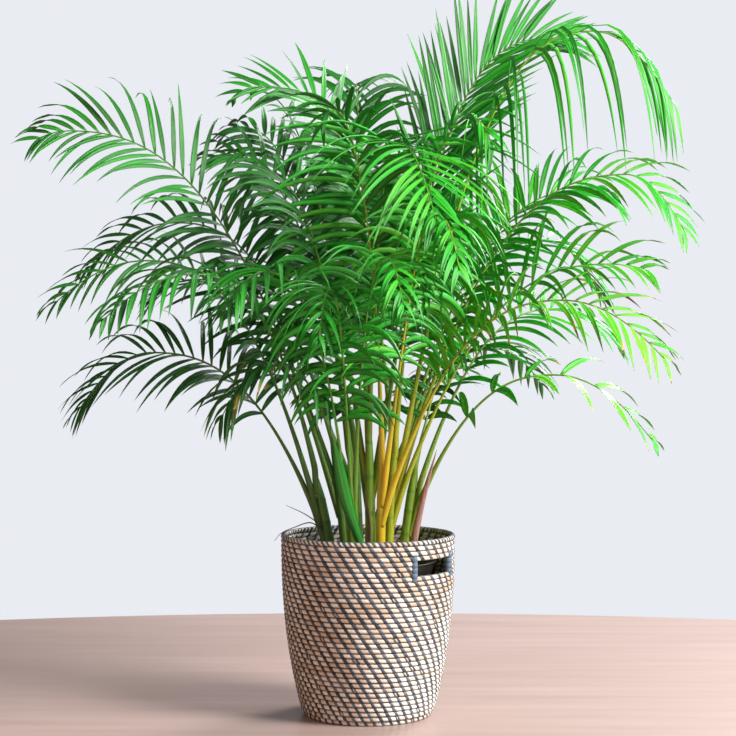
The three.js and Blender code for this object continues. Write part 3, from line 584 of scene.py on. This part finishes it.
# ---------------------------------------------------------------- basket
def basket_radius(height):
    share = min(max(height / BASKET_HEIGHT, 0), 1)
    return FOOT_RADIUS + (RIM_RADIUS - FOOT_RADIUS) * (1 - (1 - share) ** SWELL)


def course_radius(course):
    """Radius of the middle of a course's coil. The lowest courses round the corner into the floor."""
    height = (course + 0.5) * PITCH
    tuck = max(1 - height / CORNER, 0)
    return basket_radius(height) - COIL / 2 - CORNER * tuck ** 2


def stitch_azimuths():
    """Azimuths of each course's stitches. Each course's stitches lean on those of the course below."""
    chance = random.Random(WANDER_SEED)
    azimuths = np.linspace(0, 2 * np.pi, STITCHES, endpoint=False)
    pitch = 2 * np.pi / STITCHES
    courses = []
    for course in range(COURSES):
        azimuths = azimuths - STITCH_LEAN / RIM_RADIUS
        wander = np.array([chance.uniform(-0.035, 0.035) for _ in azimuths]) * pitch
        courses.append(azimuths + wander)
    return courses


def arcs_of(course):
    """The stretches of azimuth that a course's coil covers. None is the whole round."""
    if course not in HANDLE_COURSES:
        return [None]
    half = math.asin(HANDLE_WIDTH / 2 / course_radius(course))
    near, far = (math.radians(heading) for heading in HANDLE_HEADINGS)
    return [(near + half, far - half), (far + half, near + 2 * math.pi - half)]


def inside_arc(azimuth, arc, margin):
    if arc is None:
        return True
    return 0 < (azimuth - arc[0] - margin) % (2 * math.pi) < arc[1] - arc[0] - 2 * margin


def section_face(turn):
    """How far each point of a coil's squarish section stands out from its middle, from -1 to 1."""
    return np.sign(np.cos(turn)) * np.abs(np.cos(turn)) ** COIL_SQUARE


def coil_rings(course, azimuths, bulge):
    """Rings of one course's coil, sheared to lean like its stitches, with a soft swell at each bulge."""
    radius, height = course_radius(course), (course + 0.5) * PITCH
    turn = np.linspace(0, 2 * np.pi, COIL_SIDES, endpoint=False)
    drop = np.sin(turn) * PITCH / 2
    lean = -STITCH_LEAN * drop / PITCH / RIM_RADIUS
    azimuth = np.asarray(azimuths)[:, None] + lean[None, :]
    swell = REED_BULGE * np.asarray(bulge)[:, None]
    out = (COIL / 2 - REED_BULGE + swell) * section_face(turn)
    reach = radius + out
    rings = np.stack([reach * np.cos(azimuth), reach * np.sin(azimuth),
                      np.broadcast_to(height + 0.95 * drop, azimuth.shape)], axis=-1)
    return rings[:, ::-1]


def add_coils(courses):
    """The pale reed of every course: a pillow of reed shows between each two stitches."""
    chance = random.Random(REED_SEED)
    skin = Skin()
    steps = np.array([0.0, 0.22, 0.5, 0.78])
    swell = np.array([0.0, 0.9, 1.0, 0.9])
    # Painted shade for the grooves: darkest at the top and bottom of each coil's section.
    groove_shade_mask = np.abs(np.sin(np.linspace(0, 2 * np.pi, COIL_SIDES, endpoint=False)))
    for course, stitches in enumerate(courses):
        gaps = np.diff(np.append(stitches, stitches[0] + 2 * np.pi))
        azimuths = (stitches[:, None] + gaps[:, None] * steps).ravel()
        bulge = np.tile(swell, len(stitches))
        tones = np.repeat([chance.uniform(0.38, 0.80) for _ in stitches], len(steps))
        for arc in arcs_of(course):
            if arc is None:
                kept = np.arange(len(azimuths))
            else:
                shifted = (azimuths - arc[0]) % (2 * np.pi)
                order = np.argsort(shifted)
                kept = order[shifted[order] < arc[1] - arc[0]]
            rings = coil_rings(course, azimuths[kept], bulge[kept])
            growth = np.zeros(rings.shape)
            growth[..., 1] = groove_shade_mask[None, ::-1]
            growth[..., 2] = tones[kept][:, None]
            skin.tube(rings, growth, closed=arc is None)
    return skin


def add_floor_coils(skin):
    """The floor is the same coil, wound flat."""
    for turn in range(1, FLOOR_TURNS + 1):
        radius = turn * COIL
        count = max(16, 6 * turn)
        azimuth = np.linspace(0, 2 * np.pi, count, endpoint=False)
        section = np.linspace(0, 2 * np.pi, 8, endpoint=False)
        reach = radius + COIL / 2 * np.cos(section)[None, :]
        rings = np.stack([reach * np.cos(azimuth)[:, None], reach * np.sin(azimuth)[:, None],
                          np.broadcast_to(COIL / 2 + COIL / 2 * np.sin(section), (count, 8))], axis=-1)
        skin.tube(rings[:, ::-1], (0, 0, 0.4), closed=True)


def add_stitch(skin, course, azimuth, width, tone):
    """A flat strand that is wound once around the coil, leaning the way the basket is sewn."""
    radius, height = course_radius(course), (course + 0.5) * PITCH
    turn = np.linspace(0, 2 * np.pi, COIL_SIDES, endpoint=False)
    drop = np.sin(turn) * (PITCH / 2 + 0.1 * MM)
    lean = -STITCH_LEAN * drop / PITCH / RIM_RADIUS
    rings = []
    for side, lift in STITCH_SECTION:
        reach = radius + (COIL / 2 + (lift - 0.2) * MM) * section_face(turn)
        at = azimuth + lean + side * width / 2
        rings.append(np.stack([reach * np.cos(at), reach * np.sin(at),
                               np.maximum(height + drop * (1 + 0.06 * lift), 0)], axis=-1))
    growth = np.zeros((COIL_SIDES, len(STITCH_SECTION), 3))
    # Painted shade where the strand dips into the grooves, at the top and bottom of the coil.
    growth[..., 1] = (0.7 * np.abs(np.sin(turn)) ** 3)[:, None]
    growth[..., 2] = tone
    skin.tube(np.stack(rings, axis=1), growth, closed=True)


def add_basket():
    """The coil, its slate stitches, and the closer stitches of the rim."""
    courses = stitch_azimuths()
    chance = random.Random(STITCH_SEED)
    reeds = add_coils(courses)
    add_floor_coils(reeds)
    stitches, rim = Skin(), Skin()
    pitch = 2 * math.pi / STITCHES
    margin = 0.4 * STITCH_SHARE * pitch
    for course, azimuths in enumerate(courses):
        top = course == COURSES - 1
        for azimuth in azimuths:
            width = STITCH_SHARE * pitch * chance.uniform(0.85, 1.12)
            split = chance.random() < SPLIT_STITCHES
            if top:
                strands = [(azimuth, 0.62 * width), (azimuth + pitch / 2, 0.62 * width)]
            elif split:
                strands = [(azimuth - 0.38 * width, 0.5 * width), (azimuth + 0.38 * width, 0.5 * width)]
            else:
                strands = [(azimuth, width)]
            for at, wide in strands:
                if any(inside_arc(at, arc, margin) for arc in arcs_of(course)):
                    add_stitch(rim if top else stitches, course, at, wide, chance.uniform(0.2, 0.8))
    pale = reeds.object("basket_reed_coils", [REED])
    dark = stitches.object("basket_slate_stitches", [STITCH])
    edge = rim.object("rim_slate_stitches", [STITCH])
    finish_piece(pale, "coiled_cane", "basket", "rim_coil")
    finish_piece(dark, "handle_binding")
    finish_piece(edge, "handle_binding")


def add_posts():
    """Bound posts at the ends of the handle slots: a close winding of blue-grey cane."""
    names = ["front_left", "front_right", "back_right", "back_left"]
    middle = (HANDLE_COURSES[0] + len(HANDLE_COURSES) / 2) * PITCH
    radius = basket_radius(middle) - COIL / 2
    half = math.degrees(math.asin(HANDLE_WIDTH / 2 / radius))
    headings = [heading + end * half for heading in HANDLE_HEADINGS for end in (-1, 1)]
    share = np.linspace(0, 1, POST_WINDS * 6)
    turn = np.linspace(0, 2 * np.pi, 16, endpoint=False)
    ridge = np.abs(np.sin(np.pi * POST_WINDS * share)) ** 0.6
    rounding = 1 - 0.25 * np.abs(2 * share - 1) ** 8
    swell = (POST_RADIUS - WIND_DEPTH + WIND_DEPTH * ridge) * rounding
    tilt = 0.5 * MM * np.sin(turn)
    for name, heading in zip(names, headings):
        outward = turned(heading)
        aside = np.cross(UP, outward)
        centre = outward * radius + np.outer(middle + (share - 0.5) * POST_HEIGHT, UP)
        rings = (centre[:, None] + (swell[:, None] * np.cos(turn))[..., None] * outward
                 + (swell[:, None] * np.sin(turn))[..., None] * aside
                 + tilt[None, :, None] * UP)
        growth = np.zeros(rings.shape)
        growth[..., 2] = 0.35 + 0.3 * np.sin(2.1 * np.floor(share * POST_WINDS))[:, None]
        skin = Skin()
        skin.tube(rings, growth)
        finish_piece(skin.object(f"post_winding_{name}", [BINDING]), "handle_binding",
                     f"handle_binding_{name}")


add_basket()
add_posts()


# ---------------------------------------------------------------- saucer, pot and soil
def add_containers():
    """The saucer and the pot, and a look for the soil."""
    wall = 2 * MM
    flare = 5 * MM
    foot = SAUCER_RADIUS - flare
    saucer = lathe("drip_saucer_turned", [
        (0.5 * MM, SAUCER_FLOOR), (foot - 3 * MM, SAUCER_FLOOR), (foot, SAUCER_FLOOR + 3 * MM),
        (SAUCER_RADIUS - wall / 2, SAUCER_TOP - 3 * MM), (SAUCER_RADIUS, SAUCER_TOP - 1.5 * MM),
        (SAUCER_RADIUS - 0.5 * MM, SAUCER_TOP), (SAUCER_RADIUS - wall, SAUCER_TOP),
        (foot - wall, SAUCER_FLOOR + 4 * MM), (foot - wall - 2 * MM, SAUCER_FLOOR + wall),
        (0.5 * MM, SAUCER_FLOOR + wall)][::-1], BROWN)
    finish_piece(saucer, "plastic", "drip_saucer")
    pot_foot = SAUCER_RADIUS - flare - wall - 6 * MM
    lip = 14 * MM
    body = POT_RADIUS - 3 * MM
    pot = lathe("nursery_pot_moulded", [
        (0.5 * MM, POT_FLOOR), (pot_foot - 3 * MM, POT_FLOOR), (pot_foot, POT_FLOOR + 3 * MM),
        (body - 1 * MM, POT_TOP - lip - 1 * MM), (body + 1.5 * MM, POT_TOP - lip),
        (POT_RADIUS - 0.5 * MM, POT_TOP - 3 * MM), (POT_RADIUS, POT_TOP - 1.5 * MM),
        (POT_RADIUS - 0.8 * MM, POT_TOP), (body - 1.4 * MM, POT_TOP),
        (body - 2.2 * MM, POT_TOP - 2 * MM), (pot_foot - 2.2 * MM, POT_FLOOR + 4 * MM),
        (0.5 * MM, POT_FLOOR + 2.2 * MM)][::-1], BLACK)
    finish_piece(pot, "plastic", "nursery_pot")
    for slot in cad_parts["soil"].material_slots:
        slot.material = SOIL


def add_crumbs():
    """Crumbs and chips of bark lying on the soil."""
    chance = random.Random(CRUMB_SEED)
    skin = Skin()
    for _ in range(CRUMBS):
        reach = (POT_RADIUS - 12 * MM) * math.sqrt(chance.uniform(0.02, 1))
        centre = turned(chance.uniform(0, 360)) * reach
        centre[2] = SOIL_TOP - 6 * MM * (reach / POT_RADIUS) ** 2 + 0.5 * MM
        size = chance.uniform(1.2, 3.8) * MM
        tilt = unit(np.array([chance.uniform(-1, 1), chance.uniform(-1, 1), chance.uniform(-0.3, 0.3)]))
        line = centre + np.outer(np.array([-1, -0.5, 0.5, 1]) * size, tilt)
        radii = size * np.array([0.25, 0.7, 0.6, 0.2]) * chance.uniform(0.6, 1.0)
        skin.tube(round_rings(line, radii, 5), (0, 0, chance.random()))
    finish_piece(skin.object("soil_crumbs", [SOIL], smooth=False), "soil")


add_containers()
add_crumbs()


# ---------------------------------------------------------------- canes
def stem_points(stem):
    """From inside the soil to the top of a cane or strip."""
    surface = np.array([stem["foot"][0] * POT_RADIUS, stem["foot"][1] * POT_RADIUS, SOIL_TOP])
    top = surface + np.array([*stem["lean"], stem["height"]]) * MM
    middle = (surface + top) / 2 + STEM_BOW * UP
    return surface - ROOT_DEPTH * UP, surface, middle, top


def add_canes():
    for name, cane in CANES.items():
        chance = random.Random(name)
        line = smooth_line(stem_points(cane), 26)
        share = np.linspace(0, 1, len(line))
        spacing = chance.uniform(0.13, 0.17)
        phase = (share / spacing + chance.random()) % 1
        # A ring scar stands at each old leaf, with a short swelling above it.
        scar = SCAR_HEIGHT * np.exp(-((phase - 0.5) / 0.06) ** 2)
        neck = np.maximum((share - NECK_START) / (1 - NECK_START), 0) ** 1.5
        radii = (CANE_RADIUS * (1.0 - CANE_TAPER * share) + scar) * (1 - NECK_NARROWING * neck)
        sides = 20
        growth = share_growth(len(line), sides, cane["tone"], -0.2, 0.35)
        growth[..., 2] -= (0.2 * np.exp(-((phase - 0.5) / 0.05) ** 2))[:, None]
        skin = Skin()
        skin.tube(round_rings(line, radii, sides), growth)
        finish_piece(skin.object(f"cane_{name}_ringed", [STEM]), "stem", f"cane_{name}")


add_canes()


# ---------------------------------------------------------------- dry sheaths, spear and fibres
def add_strips():
    """Sheaths and the spear are narrow leaves rolled into a trough."""
    for name, strip in STRIPS.items():
        points = list(stem_points(strip))
        points[2] = points[2] + np.array([strip["bend"] * MM, 0, 0])
        line = smooth_line(points, 12)
        rows = len(line)
        share = np.linspace(0, 1, rows)
        leafy = name == "spear_leaf"
        # The spear is widest high up. A dry sheath narrows all the way.
        shape = np.sin(np.pi * (0.06 + 0.93 * share) ** 2.2) if leafy else 1 - share ** 1.6 * 0.98
        half = strip["width"] * MM * shape
        along = unit(np.gradient(line, axis=0))
        across = unit(np.cross(np.array([0.0, 1.0, 0.0]), along))
        front = np.cross(along, across)
        place_across = np.array([-1, -0.6, 0, 0.6, 1, 0.6, 0, -0.6])
        thick = np.array([0, 1, 1, 1, 0, -1, -1, -1]) * 0.5 * MM
        wave = 1 + 0.12 * np.sin(9 * share)
        rings = (line[:, None] + (half * wave)[:, None, None] * place_across[None, :, None]
                 * across[:, None]
                 + ((half * strip["curl"])[:, None] * place_across[None, :] ** 2
                    + thick[None, :])[..., None] * front[:, None])
        growth = np.zeros((rows, len(thick), 3))
        growth[..., 0] = share[:, None]
        growth[..., 1] = place_across[None, :]
        growth[..., 2] = 0.3
        skin = Skin()
        skin.tube(rings[:, ::-1], growth[:, ::-1])
        finish_piece(skin.object(f"{name}_rolled", [LEAF if leafy else SHEATH]),
                     "leaf" if leafy else "dry_sheath", name)
    for name, points in FIBRES.items():
        line = smooth_line([(x * MM, y * MM, BASKET_HEIGHT + z * MM) for x, y, z in points], 8)
        radii = np.linspace(1.3, 0.4, len(line)) * MM
        skin = Skin()
        skin.tube(round_rings(line, radii, 8), share_growth(len(line), 8, 0.3))
        finish_piece(skin.object(f"{name}_strand", [FIBRE]), "dry_sheath", name)


add_strips()


# ---------------------------------------------------------------- fronds
def steepness(frond):
    return frond["peak"] / (frond["reach"] * frond["crest"])


def petiole_foot(name):
    """Where a frond leaves its cane: the steepest on the top, the others from its side below."""
    frond = FRONDS[name]
    cane = CANES[frond["cane"]]
    family = [other for other in FRONDS if FRONDS[other]["cane"] == frond["cane"]]
    family.sort(key=lambda other: -steepness(FRONDS[other]))
    rank = family.index(name)
    _, _, middle, crown = stem_points(cane)
    if rank == 0:
        return crown + (PETIOLE_GAP + PETIOLE_RADIUS) * UP, crown - 30 * MM * UP
    below = rank * PETIOLE_SPACING / (crown[2] - middle[2])
    axis = crown + (middle - crown) * below
    aside = CANE_RADIUS + PETIOLE_RADIUS + 1 * MM
    return axis + turned(frond["heading"]) * aside, axis - 48 * MM * UP


def midrib_line(name, shares):
    """The midrib's arch: it rises to its crest and then falls to its tip."""
    frond = FRONDS[name]
    foot, _ = petiole_foot(name)
    tip = turned(frond["heading"]) * frond["reach"] * CROWN_SPREAD
    peak = SOIL_TOP + frond["peak"] * CROWN_HEIGHT
    end = SOIL_TOP + frond["tip"] * CROWN_HEIGHT
    ground = shares ** 1.5
    rise = 1 - np.maximum(1 - ground / frond["crest"], 0) ** frond.get("arch", ARCH_POWER)
    fall = np.maximum((ground - frond["crest"]) / ((1 - frond["crest"]) or 1), 0) ** 2
    height = foot[2] + (peak - foot[2]) * rise - (peak - end) * fall
    return np.stack([foot[0] + (tip[0] - foot[0]) * ground,
                     foot[1] + (tip[1] - foot[1]) * ground, height], axis=-1)


LEAFLET_ROWS = 11
BLADE_SECTION = np.array([
    (-1.0, 1.0), (-0.5, 0.42), (0.0, 0.0), (0.5, 0.42), (1.0, 1.0), (0.5, 0.34), (0.0, -0.16), (-0.5, 0.34)])


def leaflet_rings(root, along, side, over, length, width, sweep, lift, hang, twist):
    """A folded blade that leaves the midrib forwards and outwards and bends under its own weight."""
    out = (math.cos(sweep) * along + math.sin(sweep) * math.cos(lift) * side
           + math.sin(sweep) * math.sin(lift) * over)
    share = np.linspace(0, 1, LEAFLET_ROWS)
    weight = hang * 1.35 * share ** 1.4
    heading = unit(out[None] - weight[:, None] * UP[None])
    step = length / (LEAFLET_ROWS - 1)
    line = root + np.vstack([np.zeros(3), np.cumsum((heading[1:] + heading[:-1]) / 2 * step, axis=0)])
    flat = unit(along[None] - (heading @ along)[:, None] * heading)
    normal = np.cross(flat, heading)
    normal = np.where((normal @ over)[:, None] < 0, -normal, normal)
    angle = (twist * share)[:, None]
    flat, normal = (flat * np.cos(angle) + normal * np.sin(angle),
                    normal * np.cos(angle) - flat * np.sin(angle))
    rising = np.minimum(share / 0.3, 1)
    narrowing = 1 - np.maximum((share - 0.3) / 0.705, 0) ** 1.9
    half = width / 2 * (0.3 + 0.7 * rising * (2 - rising)) * narrowing
    fold = 0.34 * half
    across, depth = BLADE_SECTION.T
    rings = (line[:, None] + (half[:, None] * across)[..., None] * flat[:, None]
             + (fold[:, None] * depth)[..., None] * normal[:, None])
    under = np.array([0, 0, 0, 0, 0, 1, 1, 1]) * LEAFLET_THICKNESS
    rings = rings - (under * np.maximum(1 - share, 0.15)[:, None])[..., None] * normal[:, None]
    turns = np.cross(flat, normal)[0] @ heading[0]
    return rings if turns > 0 else rings[:, ::-1], turns > 0


def point_at(line, reach, share):
    """The point at a share of the line's length. reach is each point's own share."""
    return np.array([np.interp(share, reach, line[:, axis]) for axis in range(3)])


def midrib_frame(line, reach, share, roll):
    """Directions at a share of the midrib: along it, to the frond's side, and over the frond."""
    ahead = point_at(line, reach, min(share + 0.02, 1))
    behind = point_at(line, reach, share - 0.02)
    along = unit(ahead - behind)
    flat_side = unit(np.cross(along, UP))
    flat_over = np.cross(flat_side, along)
    side = flat_side * math.cos(roll) + flat_over * math.sin(roll)
    over = flat_over * math.cos(roll) - flat_side * math.sin(roll)
    return along, side, over


def add_petiole(skin, name, line, reach):
    """The petiole starts as a sheath around the cane and slims into the midrib."""
    _, sheath = petiole_foot(name)
    climb = np.linspace(0, 1, PETIOLE_ROWS)
    stalk = np.array([point_at(line, reach, share) for share in np.linspace(0.03, 1, PETIOLE_ROWS)])
    bend = [sheath, sheath + 0.55 * (stalk[0] - sheath), stalk[0], stalk[3]]
    # The last stretch of the smooth line only aims it, so its steps are left off.
    start = smooth_line(bend, 6)[:-7]
    stalk_radii = (PETIOLE_RADIUS + (TIP_RADIUS - PETIOLE_RADIUS) * climb ** 0.8
                   + PETIOLE_SWELL * np.maximum(1 - climb / BLADE_START, 0) ** 1.5)
    sheath_radii = np.linspace(SHEATH_RADIUS, PETIOLE_RADIUS + PETIOLE_SWELL, len(start))
    whole = np.vstack([start, stalk])
    growth = share_growth(len(whole), PETIOLE_SIDES, CANES[FRONDS[name]["cane"]]["tone"])
    growth[:, :, 0] = np.concatenate([np.zeros(len(start)), climb ** 0.6])[:, None]
    radii = np.concatenate([sheath_radii, stalk_radii])
    skin.tube(round_rings(whole, radii, PETIOLE_SIDES), growth, slot=1)


def add_leaflet(skin, frond, root, along, side, over, share, chance):
    """One leaflet, at a share of the blade. Each differs a little from its neighbours."""
    size = (0.42 + 0.58 * math.sin(math.pi * (0.14 + 0.74 * share)) ** 0.8) * (1 - 0.5 * share ** 5)
    size *= chance.uniform(0.86, 1.08)
    longest = frond["leaf"] * MM * LEAFLET_STRETCH
    base = frond.get("sweep", LEAFLET_SWEEP)
    sweep = math.radians(base + (TIP_SWEEP - base) * share ** 1.5 + chance.uniform(-7, 7))
    lift = math.radians(frond.get("lift", LEAFLET_LIFT) * (1 - 0.35 * share) + chance.uniform(-9, 9))
    hang = frond.get("hang", LEAFLET_HANG) * chance.uniform(0.65, 1.5)
    width = LEAFLET_WIDTH * frond.get("width", 1) * (1 - 0.25 * share) * chance.uniform(0.85, 1.1)
    twist = math.radians(chance.uniform(-35, 35))
    rings, kept = leaflet_rings(root, along, side, over, longest * size, width,
                                sweep, lift, hang, twist)
    blade = np.zeros(rings.shape)
    blade[..., 0] = np.linspace(0, 1, LEAFLET_ROWS)[:, None]
    blade[..., 1] = BLADE_SECTION[:, 0] if kept else BLADE_SECTION[::-1, 0]
    # The frond's tone includes painted shade: lower and back fronds are set darker.
    blade[..., 2] = frond["tone"] + chance.uniform(-0.12, 0.12)
    dry = frond.get("dry", 0.0) * max(chance.uniform(-0.3, 0.6), 0)
    # One leaflet in five has a dry point, whatever its frond.
    dry += 0.06 if chance.random() < 0.2 else 0
    skin.tube(rings, blade, dry=dry)


def add_frond(name, frond):
    chance = random.Random(name)
    line = midrib_line(name, np.linspace(0, 1, 241))
    length = np.concatenate([[0], np.cumsum(np.linalg.norm(np.diff(line, axis=0), axis=1))])
    reach = length / length[-1]
    bow = chance.uniform(-MIDRIB_BOW, MIDRIB_BOW) * MM
    line = line + (bow * np.sin(np.pi * reach))[:, None] * turned(frond["heading"] + 90)
    skin = Skin()
    add_petiole(skin, name, line, reach)
    blade_length = (1 - BLADE_START) * length[-1]
    pairs = int(blade_length / (LEAFLET_SPACING * frond.get("spacing", 1)))
    roll = math.radians(frond.get("roll", 0))
    for pair in range(pairs):
        share = pair / (pairs - 1)
        for hand in (-1, 1):
            at = BLADE_START + (BLADE_END - BLADE_START) * share + hand * 0.004
            along, side, over = midrib_frame(line, reach, at, roll)
            add_leaflet(skin, frond, point_at(line, reach, at), along, side * hand, over, share, chance)
    finish_piece(skin.object(f"palm_frond_{name}", [LEAF, STEM]), "leaf", f"frond_{name}")


for frond_name, frond_growth in FRONDS.items():
    add_frond(frond_name, frond_growth)


# ---------------------------------------------------------------- floor and light
def add_floor():
    bpy.ops.mesh.primitive_circle_add(vertices=192, radius=FLOOR_RADIUS, fill_type="NGON",
                                      location=(0, -CAMERA_DISTANCE, 0))
    floor = bpy.context.object
    floor.name = "floor"
    floor.data.materials.append(floor_material())


def add_light(name, place_at, size, power, colour):
    light = bpy.data.lights.new(name, "AREA")
    light.shape = "DISK"
    light.size = size
    light.energy = power
    light.color = colour
    made = bpy.data.objects.new(name, light)
    made.location = place_at
    aim = Vector(LIGHT_AIM) - Vector(place_at)
    made.rotation_euler = aim.to_track_quat("-Z", "Y").to_euler()
    bpy.context.scene.collection.objects.link(made)


def add_world():
    """A pale backdrop. The light it gives comes mostly from the right, as from a window."""
    world = bpy.data.worlds.new("studio")
    world.use_nodes = True
    tree = world.node_tree
    background = tree.nodes["Background"]
    direction = add_node(tree, "ShaderNodeTexCoord").outputs["Generated"]
    rightward = add_node(tree, "ShaderNodeSeparateXYZ", {"Vector": direction}).outputs[0]
    glow = ramp(tree, maths(tree, "MULTIPLY_ADD", rightward, 0.5, 0.5), [
        (0.0, (0.09, 0.066, 0.056)), (0.5, (0.27, 0.28, 0.30)), (1.0, (0.80, 0.82, 0.85))])
    seen = add_node(tree, "ShaderNodeLightPath").outputs["Is Camera Ray"]
    tree.links.new(mix(tree, seen, glow, (0.82, 0.84, 0.89)), background.inputs["Color"])
    bpy.context.scene.world = world


add_floor()
add_light("key", (4.0, -2.0, 3.4), 2.2, 560, (1.0, 0.99, 0.97))
add_light("back", (2.4, 3.2, 3.2), 1.8, 230, (1.0, 1.0, 1.0))
add_light("fill", (-2.4, -2.4, 0.7), 2.0, 22, (1.0, 0.50, 0.26))
add_world()
bpy.context.scene.view_settings.view_transform = "Standard"
